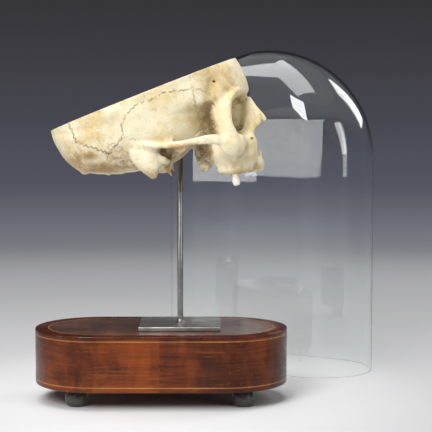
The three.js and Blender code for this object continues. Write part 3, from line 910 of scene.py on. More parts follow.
@dataclass
class Skull:
    """The skull's bones, grown as one, carved, worked over and parted at its seams."""

    forms: BoneForms = field(default_factory=BoneForms)
    loose: LooseForms = field(default_factory=LooseForms)
    marks: SurfaceMarks = field(default_factory=SurfaceMarks)
    voxel: float = 0.8
    fillet: float = 1.8
    gap: float = 0.1
    room: float = 0.3
    grain: float = 0.16
    narrow: float = 0.989
    sharp: float = 38.0
    cap: Point = (400.0, 300.0, 120.0)
    seam_width: float = 0.42
    line_width: float = 0.45
    hollow_shade_depth: float = 0.55
    next_bone: float = 1.6
    sawn: float = 0.05

    def grow(self) -> bpy.types.Object:
        """Grows the bone from its forms and carves its hollows out.

        Returns:
            The bone in one piece.
        """
        forms = self.forms
        bone = lump("bone", [
            forms.braincase, *forms.base(), *forms.ear(), *forms.arches(), *forms.brows_and_cheeks(),
            *forms.upper_jaw(), *forms.nose_root(),
        ])
        coarse = self.voxel * 1.12
        filleted(bone, self.fillet, coarse)
        hollows = lump("hollows", forms.hollows())
        filleted(hollows, self.fillet * 0.6, coarse)
        cut(bone, hollows, "DIFFERENCE")
        dropped(hollows)
        applied(bone, "REMESH", mode="VOXEL", voxel_size=self.voxel)
        mesh = bone.data
        set_points(mesh, relaxed(points_of(mesh), edges_of(mesh), 10))
        return bone

    def sculpt(self, bone: bpy.types.Object) -> None:
        """Works the ridges, furrows and roughness into the skin.

        Args:
            bone: The whole skull.
        """
        mesh = bone.data
        points, normals = points_of(mesh), normals_of(mesh)
        facing = outward(points, normals)
        lift = np.zeros(len(points))
        for stroke in (*self.marks.ridges, *self.marks.furrows, *self.marks.inner, *self.marks.root_ridges()):
            lift += stroke.lifts(points, facing)
        rough = sum(fading(points * (1, 0, 1), line, width) for line, width in self.marks.rough)
        for i, point in enumerate(points):
            place = Vector(point)
            swell = noise.noise(place / 17.0) * 0.5 + noise.noise(place / 6.5) * self.grain
            lift[i] += swell + rough[i] * 0.35 * noise.noise(place / 2.6)
        set_points(mesh, (points + normals * lift[:, None]) * (1.0, self.narrow, 1.0))

    def pierce(self, bone: bpy.types.Object) -> None:
        """Cuts the small holes, the tooth sockets and the rooms of the loose bones and the rod.

        Args:
            bone: The whole skull.
        """
        holes = lump("holes", [*self.forms.small_holes(), *self.forms.tooth_sockets()])
        applied(holes, "REMESH", mode="VOXEL", voxel_size=self.voxel * 0.6)
        bars = (*both(self.loose.nasal), self.loose.vomer, self.loose.tooth)
        rooms = (lump("room", [bar.grown(self.room)]) for bar in bars)
        for tool in (holes, *rooms, self.rod_room()):
            cut(bone, tool, "DIFFERENCE")
            dropped(tool)

    def rod_room(self) -> bpy.types.Object:
        """The hole for the rod in the skull's base.

        Returns:
            The solid to cut out.
        """
        low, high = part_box("mount_rod")
        bm = bmesh.new()
        radius = (high.x - low.x) / 2 + self.room * MM
        depth = high.z - low.z + self.room * MM
        bmesh.ops.create_cone(bm, cap_ends=True, segments=40, radius1=radius, radius2=radius, depth=depth)
        bmesh.ops.translate(bm, verts=bm.verts, vec=(low + high) / 2)
        bmesh.ops.transform(bm, matrix=PLACE.matrix().inverted(), verts=bm.verts)
        return made("rod_room", bm)

    def saw(self, bone: bpy.types.Object) -> None:
        """Saws the cap off.

        Args:
            bone: The whole skull.
        """
        bm = bmesh.new()
        bmesh.ops.create_cube(bm, size=1.0)
        bmesh.ops.scale(bm, vec=self.cap, verts=bm.verts)
        slope = math.atan2(PLACE.saw_front[1] - PLACE.saw_back[1], PLACE.saw_front[0] - PLACE.saw_back[0])
        height = float(PLACE.saw_height(np.array(0.0)))
        turned = Matrix.Translation((0, 0, height)) @ Matrix.Rotation(-slope, 4, "Y")
        bmesh.ops.transform(bm, matrix=turned @ Matrix.Translation((0, 0, self.cap[2] / 2)), verts=bm.verts)
        cap = made("cap", bm)
        cut(bone, cap, "DIFFERENCE")
        dropped(cap)

    def part(self, bone: bpy.types.Object) -> list[bpy.types.Object]:
        """Parts the skull into its bones, which leaves the sphenoid last.

        Args:
            bone: The whole skull, which becomes the sphenoid.

        Returns:
            The bones, named for their nodes.
        """
        bones = []
        for region in bone_regions():
            piece = bone.copy()
            piece.data = bone.data.copy()
            bpy.context.scene.collection.objects.link(piece)
            tool = region.tool(0.0, self.gap)
            cut(piece, tool, "INTERSECT")
            dropped(tool)
            tool = region.tool(self.gap, self.gap)
            cut(bone, tool, "DIFFERENCE")
            dropped(tool)
            piece.name = region.name
            bones.append(piece)
        bone.name = "bone_sphenoid"
        return [*bones, bone]

    def largest_island(self, thing: bpy.types.Object) -> None:
        """Keeps only the largest closed skin of a bone.

        Args:
            thing: The bone.
        """
        mesh = thing.data
        edges = edges_of(mesh)
        label = np.arange(len(mesh.vertices))
        while True:
            low = np.minimum(label[edges[:, 0]], label[edges[:, 1]])
            new = label.copy()
            np.minimum.at(new, edges[:, 0], low)
            np.minimum.at(new, edges[:, 1], low)
            new = new[new]
            if np.array_equal(new, label):
                break
            label = new
        kept = label == np.bincount(label).argmax()
        bm = bmesh.new()
        bm.from_mesh(mesh)
        bm.verts.ensure_lookup_table()
        bmesh.ops.delete(bm, geom=[bm.verts[i] for i in np.flatnonzero(~kept)], context="VERTS")
        bm.to_mesh(mesh)
        bm.free()

    def loose_bones(self) -> list[bpy.types.Object]:
        """The nasal bones, the vomer and the tooth.

        Returns:
            The four objects.
        """
        made_bones = []
        half = Run(((60, -20), (120, -20), (120, 60), (60, 60)))
        for (name, side), bar in zip(SIDES, both(self.loose.nasal)):
            bone = lump(f"bone_nasal_{name}", [bar])
            tool = Region("nasal", ((Tilt.SIDE, (half,)),), side).tool(0.0, self.room)
            cut(bone, tool, "INTERSECT")
            dropped(tool)
            made_bones.append(bone)
        made_bones.append(lump("bone_vomer", [self.loose.vomer]))
        made_bones.append(lump("bone_tooth", [self.loose.tooth]))
        return made_bones

    def partings(self, bones: Sequence[bpy.types.Object]) -> list[np.ndarray]:
        """How far each bone's points lie from the next bone.

        Args:
            bones: All the bones.

        Returns:
            One row for each bone, with a large distance where no other bone is close.
        """
        trees = []
        for bone in bones:
            bm = bmesh.new()
            bm.from_mesh(bone.data)
            points = points_of(bone.data)
            trees.append((bone, BVHTree.FromBMesh(bm), points.min(axis=0), points.max(axis=0)))
            bm.free()
        distances = []
        for bone in bones:
            points = points_of(bone.data)
            near = np.full(len(points), 9.0)
            for other, tree, low, high in trees:
                if other is bone:
                    continue
                close = np.all((points > low - 2.0) & (points < high + 2.0), axis=1)
                for i in np.flatnonzero(close):
                    distance = tree.find_nearest(points[i], self.next_bone)[3]
                    if distance is not None:
                        near[i] = min(near[i], distance)
            distances.append(near)
        return distances

    def seams(self, points: np.ndarray, normals: np.ndarray, near: np.ndarray) -> np.ndarray:
        """How clearly a seam or a fine line shows at each point.

        Args:
            points: A bone's points.
            normals: Their normals.
            near: Their distances to the next bone.

        Returns:
            One value from 0 to 1 for each point.
        """
        flat = points[:, (0, 2)]
        open_seams = np.minimum(nearness(flat, SQUAMOUS.points), nearness(flat, LAMBDOID.points))
        open_share = 0.18 + 0.82 * np.exp(-((open_seams / 5.0) ** 2))
        seam = np.exp(-((np.maximum(near - self.gap, 0.0) / self.seam_width) ** 2)) * open_share
        swapped = flat[:, ::-1]
        wobble = flat + 0.7 * np.sin(swapped * (1.3, 1.1) + (0.4, 2.0)) + 0.35 * np.sin(swapped * (2.9, 3.3))
        outer = np.clip(outward(points, normals) * 3.0, 0.0, 1.0) * (np.abs(points[:, 1]) > 30.0)
        for line in self.marks.lines():
            seam = np.maximum(seam, 0.75 * outer * fading(wobble, line, self.line_width))
        return seam

    def mark(self, bones: Sequence[bpy.types.Object]) -> None:
        """Writes each bone's seams, its hollows for the painted shade, and its sawn rim as attributes, for
        its material.

        Args:
            bones: All the bones.
        """
        for bone, near in zip(bones, self.partings(bones)):
            mesh = bone.data
            points, normals, edges = points_of(mesh), normals_of(mesh), edges_of(mesh)
            smooth = points
            for _ in range(10):
                smooth = neighbours_mean(smooth, edges)
            # painted shade: how far each point lies sunk below its smoothed neighbours, which the material
            # darkens as if shade fell there
            hollow_shade = np.clip(np.sum((smooth - points) * normals, axis=1) / self.hollow_shade_depth, 0.0, 1.0)
            rim = (np.abs(points[:, 2] - PLACE.saw_height(points[:, 0])) < self.sawn).astype(float)
            seam = self.seams(points, normals, near)
            for name, values in (("seam", seam * (1 - rim)), ("hollow_shade", hollow_shade * (1 - rim)), ("rim", rim)):
                attribute = mesh.attributes.new(name, "FLOAT", "POINT")
                attribute.data.foreach_set("value", values.astype(np.float32))

    def build(self, effects: "Effects") -> None:
        """Makes and dresses all the bones and the tooth.

        Args:
            effects: The shared effects.
        """
        bone = self.grow()
        self.sculpt(bone)
        self.pierce(bone)
        self.saw(bone)
        LOG.info("the skull is grown, with %d points", len(bone.data.vertices))
        bones = self.part(bone)
        for piece in bones:
            self.largest_island(piece)
        pieces = [*bones, *self.loose_bones()]
        self.mark(pieces)
        finishes = {"bone": Bone().paint(effects), "tooth": Enamel().paint(effects)}
        for piece in pieces:
            piece.data.transform(PLACE.matrix())
            smoothed(piece, self.sharp)
            piece.data.update()
            slot = "tooth" if piece.name == "bone_tooth" else "bone"
            dressed(piece, finishes[slot], node=piece.name.replace("bone_", "skull_"))


# ---------------------------------------------------------------- the wiring
Socket = bpy.types.NodeSocket
Inputs = dict[str | int, object]


def shade(red: int, green: int, blue: int) -> tuple[float, float, float, float]:
    """A screen colour of 0 to 255 as the linear colour that nodes take."""
    screen = [value / 255 for value in (red, green, blue)]
    return (*(c / 12.92 if c <= 0.04045 else ((c + 0.055) / 1.055) ** 2.4 for c in screen), 1.0)


class Wiring:
    """Lays the nodes of one material or node group and joins them."""

    def __init__(self, tree: bpy.types.NodeTree) -> None:
        """Starts on an empty tree."""
        self.tree = tree

    def node(self, kind: str, inputs: Inputs | None = None, **settings: object) -> bpy.types.Node:
        """Adds a node.

        Args:
            kind: The node's type, without its leading ShaderNode.
            inputs: Values or sockets for its inputs, by name or number.
            **settings: Its own settings.

        Returns:
            The node.
        """
        new = self.tree.nodes.new("ShaderNode" + kind)
        for key, value in settings.items():
            setattr(new, key, value)
        for key, value in (inputs or {}).items():
            self.feed(new.inputs[key], value)
        return new

    def feed(self, socket: Socket, value: object) -> None:
        """Gives an input a link or a fixed value.

        Args:
            socket: The input.
            value: A socket to link, or the value.
        """
        if isinstance(value, bpy.types.NodeSocket):
            self.tree.links.new(value, socket)
        else:
            socket.default_value = value

    def maths(self, how: str, a: object, b: object = 0.0, clamp: bool = False) -> Socket:
        """One step of arithmetic on numbers."""
        return self.node("Math", {0: a, 1: b}, operation=how, use_clamp=clamp).outputs[0]

    def times(self, a: object, b: object) -> Socket:
        """The product of two numbers."""
        return self.maths("MULTIPLY", a, b)

    def plus(self, a: object, b: object) -> Socket:
        """The sum of two numbers."""
        return self.maths("ADD", a, b)

    def minus(self, a: object, b: object) -> Socket:
        """The difference of two numbers."""
        return self.maths("SUBTRACT", a, b)

    def vector(self, how: str, a: object, b: object = (0.0, 0.0, 0.0)) -> Socket:
        """One step of arithmetic on vectors."""
        return self.node("VectorMath", {0: a, 1: b}, operation=how).outputs[0]

    def mix(self, share: object, a: object, b: object) -> Socket:
        """Mixes two colours."""
        return self.node("Mix", {0: share, 6: a, 7: b}, data_type="RGBA").outputs[2]

    def span(
        self, value: Socket, low: float, high: float, to_low: float = 0.0, to_high: float = 1.0,
    ) -> Socket:
        """Maps a range of a value smoothly onto another."""
        inputs = {"Value": value, "From Min": low, "From Max": high, "To Min": to_low, "To Max": to_high}
        return self.node("MapRange", inputs, interpolation_type="SMOOTHSTEP").outputs[0]

    def spot(self) -> Socket:
        """Where a point lies on the piece, in metres."""
        return self.node("TexCoord").outputs["Object"]

    def parts(self, place: Socket) -> tuple[Socket, Socket, Socket]:
        """A place's three coordinates."""
        return tuple(self.node("SeparateXYZ", {0: place}).outputs)

    def cloud(
        self, place: Socket, scale: float, detail: float = 4.0, rough: float = 0.55, bend: float = 0.0,
    ) -> Socket:
        """A noise pattern's value."""
        inputs = {"Vector": place, "Scale": scale, "Detail": detail, "Roughness": rough, "Distortion": bend}
        return self.node("TexNoise", inputs).outputs["Fac"]

    def scaled(self, place: Socket, scale: Point, turn: Point = (0.0, 0.0, 0.0)) -> Socket:
        """A place, turned and scaled."""
        return self.node("Mapping", {"Vector": place, "Rotation": turn, "Scale": scale}).outputs[0]

    def bump(
        self, height: Socket, distance: float, strength: float = 1.0, under: Socket | None = None,
    ) -> Socket:
        """The normal of a relief.

        Args:
            height: The relief.
            distance: Its depth in metres.
            strength: How much of it shows.
            under: The normal that it lies on.

        Returns:
            The normal.
        """
        inputs: Inputs = {"Height": height, "Distance": distance, "Strength": strength}
        if under is not None:
            inputs["Normal"] = under
        return self.node("Bump", inputs).outputs[0]

    def use(self, group: bpy.types.NodeTree, inputs: Inputs) -> bpy.types.Node:
        """Places a node group.

        Args:
            group: The group.
            inputs: Its values or sockets by name.

        Returns:
            The group's node.
        """
        new = self.tree.nodes.new("ShaderNodeGroup")
        new.node_tree = group
        for key, value in inputs.items():
            self.feed(new.inputs[key], value)
        return new


def group(
    name: str, sockets: Sequence[tuple[str, str, str]],
) -> tuple[bpy.types.NodeTree, Wiring, dict[str, Socket], dict[str, Socket]]:
    """Starts a node group.

    Args:
        name: The group's name.
        sockets: Name, INPUT or OUTPUT, and type of each socket.

    Returns:
        The group, its wiring, what comes in by name, and where to send what goes out by name.
    """
    tree = bpy.data.node_groups.new(name, "ShaderNodeTree")
    for socket_name, way, kind in sockets:
        tree.interface.new_socket(socket_name, in_out=way, socket_type="NodeSocket" + kind)
    came, gone = tree.nodes.new("NodeGroupInput"), tree.nodes.new("NodeGroupOutput")
    comes = {s.name: s for s in came.outputs if s.name}
    goes = {s.name: s for s in gone.inputs if s.name}
    return tree, Wiring(tree), comes, goes


@dataclass
class Effects:
    """The effects that several finishes share, each one a node group."""

    patch: bpy.types.NodeTree = field(init=False)
    grain: bpy.types.NodeTree = field(init=False)
    scuffs: bpy.types.NodeTree = field(init=False)

    def __post_init__(self) -> None:
        """Builds the groups."""
        self.patch = self.build_patch()
        self.grain = self.build_grain()
        self.scuffs = self.build_scuffs()

    def build_patch(self) -> bpy.types.NodeTree:
        """A soft ragged patch around a place.

        Returns:
            The group.
        """
        tree, wiring, comes, goes = group("patch", (
            ("Place", "INPUT", "Vector"), ("Centre", "INPUT", "Vector"), ("Reach", "INPUT", "Vector"),
            ("Ragged", "INPUT", "Float"), ("Cloud", "INPUT", "Float"), ("Mask", "OUTPUT", "Float"),
        ))
        away = wiring.vector("SUBTRACT", comes["Place"], comes["Centre"])
        away = wiring.vector("DIVIDE", away, comes["Reach"])
        length = wiring.node("VectorMath", {0: away}, operation="LENGTH").outputs["Value"]
        drift = wiring.times(wiring.minus(comes["Cloud"], 0.5), comes["Ragged"])
        wiring.feed(goes["Mask"], wiring.span(wiring.plus(length, drift), 1.25, 0.25))
        return tree

    def build_grain(self) -> bpy.types.NodeTree:
        """Wood grain along the first coordinate, in metres: its tone, its figure and its pores.

        Returns:
            The group.
        """
        tree, wiring, comes, goes = group("grain", (
            ("Place", "INPUT", "Vector"), ("Tone", "OUTPUT", "Float"), ("Figure", "OUTPUT", "Float"),
            ("Pores", "OUTPUT", "Float"),
        ))
        bent = wiring.cloud(wiring.scaled(comes["Place"], (9, 22, 22)), 1.0, 2.0)
        drift = wiring.times(wiring.minus(bent, 0.5), 0.010)
        sway = wiring.node("CombineXYZ", {"Y": drift}).outputs[0]
        place = wiring.vector("ADD", comes["Place"], sway)
        streaks = wiring.cloud(wiring.scaled(place, (14, 420, 420)), 1.0, 5.0, 0.62)
        bands = wiring.cloud(wiring.scaled(place, (6, 90, 90)), 1.0, 3.0, 0.5)
        wiring.feed(goes["Tone"], wiring.plus(wiring.times(streaks, 0.55), wiring.times(bands, 0.45)))
        wiring.feed(goes["Figure"], wiring.cloud(wiring.scaled(place, (58, 13, 13)), 1.0, 3.0, 0.55, 0.6))
        ticks = wiring.cloud(wiring.scaled(place, (130, 2600, 2600)), 1.0, 2.0, 0.5)
        wiring.feed(goes["Pores"], wiring.span(ticks, 0.60, 0.72))
        return tree

    def build_scuffs(self) -> bpy.types.NodeTree:
        """Handling marks: cloudy dulling, fine scratches and specks.

        Returns:
            The group.
        """
        tree, wiring, comes, goes = group("scuffs", (
            ("Place", "INPUT", "Vector"), ("Dull", "OUTPUT", "Float"), ("Scratches", "OUTPUT", "Float"),
            ("Specks", "OUTPUT", "Float"),
        ))
        wiring.feed(goes["Dull"], wiring.span(wiring.cloud(comes["Place"], 38.0, 5.0, 0.6), 0.35, 0.7))
        lines = []
        for scale, turn in (((18, 1500, 300), 0.5), ((22, 1300, 300), -0.9), ((16, 1700, 300), 1.4)):
            drawn = wiring.scaled(comes["Place"], scale, (0, 0, turn))
            lines.append(wiring.span(wiring.cloud(drawn, 1.0, 2.0), 0.66, 0.70))
        scratches = wiring.maths("MAXIMUM", wiring.maths("MAXIMUM", lines[0], lines[1]), lines[2])
        wiring.feed(goes["Scratches"], scratches)
        wiring.feed(goes["Specks"], wiring.span(wiring.cloud(comes["Place"], 900.0, 2.0, 0.5), 0.70, 0.76))
        return tree


def blank(name: str) -> tuple[bpy.types.Material, Wiring, bpy.types.Node]:
    """Starts a material.

    Args:
        name: The material's name.

    Returns:
        The material, its wiring and its principled shader.
    """
    material = bpy.data.materials.new(name)
    material.use_nodes = True
    return material, Wiring(material.node_tree), material.node_tree.nodes["Principled BSDF"]


# ---------------------------------------------------------------- finishes
@dataclass(frozen=True)
class TintPatch:
    """A tinted patch of the bone, in the skull's frame in millimetres, on the right and on the left. Most are
    real stains; those in deep recesses and holes are painted shade.
    """

    centre: Point
    reach: Point
    strength: float
    tint: Tint


@dataclass(frozen=True)
class Bone:
    """Old, clean bone: ivory, brown in the seams and where muscles held, with painted shade in its hollows
    and deep recesses.
    """

    ivory: Tint = (249, 238, 203)
    warm: Tint = (220, 192, 118)
    pale: Tint = (253, 248, 226)
    seam: Tint = (116, 82, 44)
    hollow_shade: Tint = (132, 98, 42)
    rim: Tint = (246, 236, 208)
    stains_and_shade: tuple[TintPatch, ...] = (
        TintPatch((-66, 24, 6), (24, 42, 14), 0.75, (190, 142, 34)),
        TintPatch((-50, 34, -7), (30, 26, 9), 0.8, (166, 118, 22)),
        TintPatch((-62, 40, 7), (14, 22, 5), 0.6, (132, 90, 18)),
        TintPatch((-74, 30, 22), (14, 34, 16), 0.4, (204, 164, 84)),
        TintPatch((-62, 44, 27), (10, 20, 10), 0.45, (196, 152, 70)),
        TintPatch((-34, 54, 4), (13, 12, 12), 0.4, (176, 132, 56)),
        TintPatch((-42, 58, 30), (22, 20, 12), 0.22, (210, 172, 96)),
        # painted shade: dark patches behind the eye socket's outer wall and inside the cheek arch, where the
        # recesses fall into shade
        TintPatch((43, 47, 14), (7, 12, 17), 1.0, (98, 70, 20)),
        TintPatch((42, 44, 4), (9, 12, 10), 0.9, (66, 44, 12)),
        TintPatch((34, 54, 24), (10, 12, 16), 0.5, (182, 142, 64)),
        # painted shade: under the skull's base behind the upper jaw, deep in the eye socket and in the nose
        TintPatch((33, 18, -14), (12, 16, 17), 1.0, (88, 58, 16)),
        TintPatch((52, 20, 12), (20, 18, 18), 0.7, (132, 96, 40)),
        TintPatch((58, 0, -6), (34, 13, 16), 0.85, (84, 56, 22)),
        TintPatch((-8, 50, -20), (12, 9, 9), 0.6, (160, 112, 40)),
        TintPatch((3, 42, -18), (6, 8, 14), 0.85, (172, 116, 34)),
        # painted shade: in the jaw joint and in the ear hole
        TintPatch((8, 46, -9), (11, 16, 7), 0.85, (110, 72, 22)),
        TintPatch((0, 50, -2), (4, 16, 4), 0.9, (50, 34, 14)),
        TintPatch((17, 61, -2), (15, 6, 6), 0.75, (204, 132, 42)),
        # painted shade under the skull's base
        TintPatch((6, 20, -8), (30, 26, 14), 0.6, (140, 98, 36)),
        TintPatch((56, 24, -35), (24, 14, 6), 0.65, (176, 124, 48)),
        TintPatch((74, 14, -33), (10, 12, 5), 0.65, (180, 128, 50)),
        TintPatch((74, 12, 30), (9, 22, 8), 0.4, (190, 146, 70)),
        TintPatch((66, 38, 44), (9, 14, 16), 0.5, (202, 160, 80)),
        TintPatch((52, 50, 50), (8, 10, 12), 0.45, (204, 160, 78)),
        TintPatch((60, 34, 44), (22, 40, 26), 0.4, (212, 176, 98)),
        # painted shade in the drilled hole in the brow
        TintPatch((55.1, 46, 46.2), (1.9, 4, 1.9), 1.0, (44, 30, 16)),
    )

    def paint(self, effects: Effects) -> bpy.types.Material:
        """Builds the material.

        Args:
            effects: The shared effects.

        Returns:
            The material.
        """
        material, wiring, shader = blank("bone")
        origin = tuple(PLACE.matrix().to_translation())
        place = wiring.node("Mapping", {
            "Vector": wiring.spot(), "Location": origin,
            "Rotation": (0.0, -math.radians(PLACE.tilt), 0.0), "Scale": (MM, MM, MM),
        }, vector_type="TEXTURE").outputs[0]
        parts = wiring.parts(place)
        beside = wiring.maths("ABSOLUTE", parts[1])
        folded = wiring.node("CombineXYZ", {0: parts[0], 1: beside, 2: parts[2]}).outputs[0]
        broad = wiring.cloud(place, 0.032, 4.0, 0.6, 0.5)
        middling = wiring.cloud(place, 0.13, 5.0, 0.62)
        fine = wiring.cloud(place, 0.75, 4.0, 0.62)
        colour = wiring.mix(wiring.span(broad, 0.42, 0.68, 0.0, 0.6), shade(*self.ivory), shade(*self.warm))
        colour = wiring.mix(wiring.span(middling, 0.50, 0.72, 0.0, 0.6), colour, shade(*self.pale))
        colour = wiring.mix(wiring.span(middling, 0.46, 0.30, 0.0, 0.45), colour, shade(*self.warm))
        # tint patches: real stains, and painted shade in the deep recesses and holes
        for tint_patch in self.stains_and_shade:
            mask = wiring.use(effects.patch, {
                "Place": folded, "Centre": tint_patch.centre, "Reach": tint_patch.reach, "Ragged": 1.5,
                "Cloud": middling,
            }).outputs[0]
            mottling = wiring.span(fine, 0.25, 0.6, tint_patch.strength * 0.6, tint_patch.strength)
            colour = wiring.mix(wiring.times(mask, mottling), colour, shade(*tint_patch.tint))
        streaks = wiring.cloud(wiring.scaled(place, (0.06, 0.5, 0.5)), 1.0, 4.0, 0.65)
        colour = wiring.mix(wiring.span(streaks, 0.56, 0.74, 0.0, 0.4), colour, shade(*self.warm))
        # random small dark pore specks, in the hollow shade's tint
        colour = wiring.mix(wiring.span(fine, 0.60, 0.76, 0.0, 0.5), colour, shade(*self.hollow_shade))
        drift = wiring.node("TexNoise", {"Vector": place, "Scale": 0.16, "Detail": 3.0}).outputs["Color"]
        bent = wiring.vector("ADD", place, wiring.vector("MULTIPLY", drift, (16.0, 16.0, 16.0)))
        cells = wiring.node("TexVoronoi", {"Vector": bent, "Scale": 0.055}, feature="DISTANCE_TO_EDGE")
        crazed = wiring.span(cells.outputs["Distance"], 0.010, 0.0)
        cracks = wiring.times(crazed, wiring.span(broad, 0.5, 0.62, 0.0, 0.55))
        colour = wiring.mix(cracks, colour, shade(*self.seam))
        hollow_shade = wiring.node("Attribute", attribute_name="hollow_shade").outputs["Fac"]
        seam = wiring.node("Attribute", attribute_name="seam").outputs["Fac"]
        rim = wiring.node("Attribute", attribute_name="rim").outputs["Fac"]
        # painted shade: darker and browner in the hollows and creases
        colour = wiring.mix(wiring.times(hollow_shade, 0.6), colour, shade(*self.hollow_shade))
        broken = wiring.span(middling, 0.40, 0.60, 0.25, 0.9)
        colour = wiring.mix(wiring.times(seam, broken), colour, shade(*self.seam))
        # the sawn rim's spongy pores, in the hollow shade's tint
        sponge = wiring.node("TexVoronoi", {"Vector": place, "Scale": 1.15}).outputs["Distance"]
        holes = wiring.span(sponge, 0.34, 0.2)
        sawn = wiring.mix(wiring.times(holes, 0.55), shade(*self.rim), shade(*self.hollow_shade))
        wiring.feed(shader.inputs["Base Color"], wiring.mix(rim, colour, sawn))
        wiring.feed(shader.inputs["Roughness"], wiring.span(middling, 0.3, 0.7, 0.46, 0.62))
        shader.inputs["Specular IOR Level"].default_value = 0.4
        pits = wiring.plus(wiring.times(fine, 0.5), wiring.times(wiring.span(fine, 0.64, 0.74), -0.8))
        relief = wiring.minus(pits, wiring.times(wiring.times(rim, holes), 1.6))
        uneven = wiring.bump(wiring.plus(middling, wiring.times(cracks, -0.3)), 0.0011, 0.7)
        wiring.feed(shader.inputs["Normal"], wiring.bump(relief, 0.00024, 0.9, uneven))
        return material


@dataclass(frozen=True)
class Enamel:
    """A tooth: a shiny pale crown that goes over into a yellower, dull root."""

    crown: Tint = (250, 246, 232)
    root: Tint = (214, 186, 130)

    def paint(self, effects: Effects) -> bpy.types.Material:
        """Builds the material.

        Args:
            effects: The shared effects.

        Returns:
            The material.
        """
        material, wiring, shader = blank("enamel")
        low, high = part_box("skull_tooth")
        neck = low + (high - low) * 0.5
        place = wiring.spot()
        cloud = wiring.cloud(place, 900.0, 4.0)
        reach = (0.02, 0.02, (high.z - low.z) * 0.62)
        mask = wiring.use(effects.patch, {
            "Place": place, "Centre": (neck.x, neck.y, high.z), "Reach": reach, "Ragged": 0.3, "Cloud": cloud,
        }).outputs[0]
        colour = wiring.mix(mask, shade(*self.crown), shade(*self.root))
        colour = wiring.mix(wiring.span(cloud, 0.6, 0.75, 0.0, 0.3), colour, shade(*self.root))
        wiring.feed(shader.inputs["Base Color"], colour)
        wiring.feed(shader.inputs["Roughness"], wiring.span(mask, 0.0, 1.0, 0.2, 0.55))
        wiring.feed(shader.inputs["Normal"], wiring.bump(cloud, 0.00006))
        return material


class Cut(Enum):
    """How a veneer was cut and laid."""

    SIDE = "grain along the side, with one butted joint in front"
    BAND = "short grain across a border"
    TOP = "one quiet dark sheet"
    LINE = "thin pale boxwood line"


@dataclass(frozen=True)
class Veneer:
    """Old french-polished veneer in one of its cuts."""

    cut: Cut
    dark: Tint
    mid: Tint
    light: Tint
    gloss: float = 0.3
    coat: float = 0.1
    coat_rough: float = 0.1
    left_sheet: tuple[float, float] = (-0.06, 0.0605)
    ends: tuple[float, float] = (0.088, 0.128)
    # painted shade and grey sheen of the curved ends, with their worn polish
    end_shade_and_wear: Tint = (56, 42, 30)

    def paint(self, effects: Effects) -> bpy.types.Material:
        """Builds the material.

        Args:
            effects: The shared effects.

        Returns:
            The material.
        """
        material, wiring, shader = blank("veneer_" + self.cut.name.lower())
        around = wiring.node("UVMap", uv_map="around").outputs[0]
        place = wiring.scaled(around, (1, 1, 1), (0, 0, math.pi / 2 if self.cut is Cut.BAND else 0))
        if self.cut is Cut.SIDE:
            along = wiring.parts(around)[0]
            middle, half = self.left_sheet
            left = wiring.maths("LESS_THAN", wiring.maths("ABSOLUTE", wiring.plus(along, -middle)), half)
            other_sheet = wiring.node("CombineXYZ", {1: wiring.times(left, 0.37)}).outputs[0]
            place = wiring.vector("ADD", place, other_sheet)
        grain = wiring.use(effects.grain, {"Place": place}).outputs
        tone = wiring.span(grain["Tone"], 0.34, 0.62)
        colour = wiring.mix(tone, shade(*self.dark), shade(*self.mid))
        colour = wiring.mix(wiring.span(grain["Figure"], 0.42, 0.66, 0.0, 0.28), colour, shade(*self.light))
        if self.cut is Cut.SIDE:
            colour = wiring.mix(wiring.times(left, 0.16), colour, shade(*self.light))
            right = wiring.minus(1.0, left)
            colour = wiring.mix(wiring.times(right, 0.2), colour, shade(*self.dark))
            # painted shade and grey sheen: the side turns darker and greyer round the curved ends, where it
            # turns from the light; the polish is also worn there
            end_shade_and_wear = wiring.span(wiring.maths("ABSOLUTE", along), *self.ends, 0.0, 0.72)
            colour = wiring.mix(end_shade_and_wear, colour, shade(*self.end_shade_and_wear))
        colour = wiring.mix(wiring.times(grain["Pores"], 0.55), colour, shade(*self.dark))
        spot = wiring.spot()
        scuffs = wiring.use(effects.scuffs, {"Place": spot}).outputs
        tint_patch = wiring.span(wiring.cloud(spot, 22.0, 5.0, 0.62, 0.4), 0.43, 0.64, 0.0, 0.72)
        colour = wiring.mix(tint_patch, colour, shade(*self.dark))
        colour = wiring.mix(wiring.times(scuffs["Scratches"], 0.22), colour, shade(*self.light))
        colour = wiring.mix(wiring.times(scuffs["Specks"], 0.4), colour, shade(*self.light))
        wiring.feed(shader.inputs["Base Color"], colour)
        rough = wiring.span(scuffs["Dull"], 0.0, 1.0, self.gloss, self.gloss + 0.2)
        wiring.feed(shader.inputs["Roughness"], rough)
        coat = wiring.span(scuffs["Dull"], 0.0, 1.0, self.coat, self.coat * 0.45)
        wiring.feed(shader.inputs["Coat Weight"], coat)
        shader.inputs["Coat Roughness"].default_value = self.coat_rough
        shader.inputs["Specular IOR Level"].default_value = 0.2
        relief = wiring.minus(wiring.times(grain["Tone"], 0.35), grain["Pores"])
        wiring.feed(shader.inputs["Normal"], wiring.bump(relief, 0.00004, 0.5))
        return material


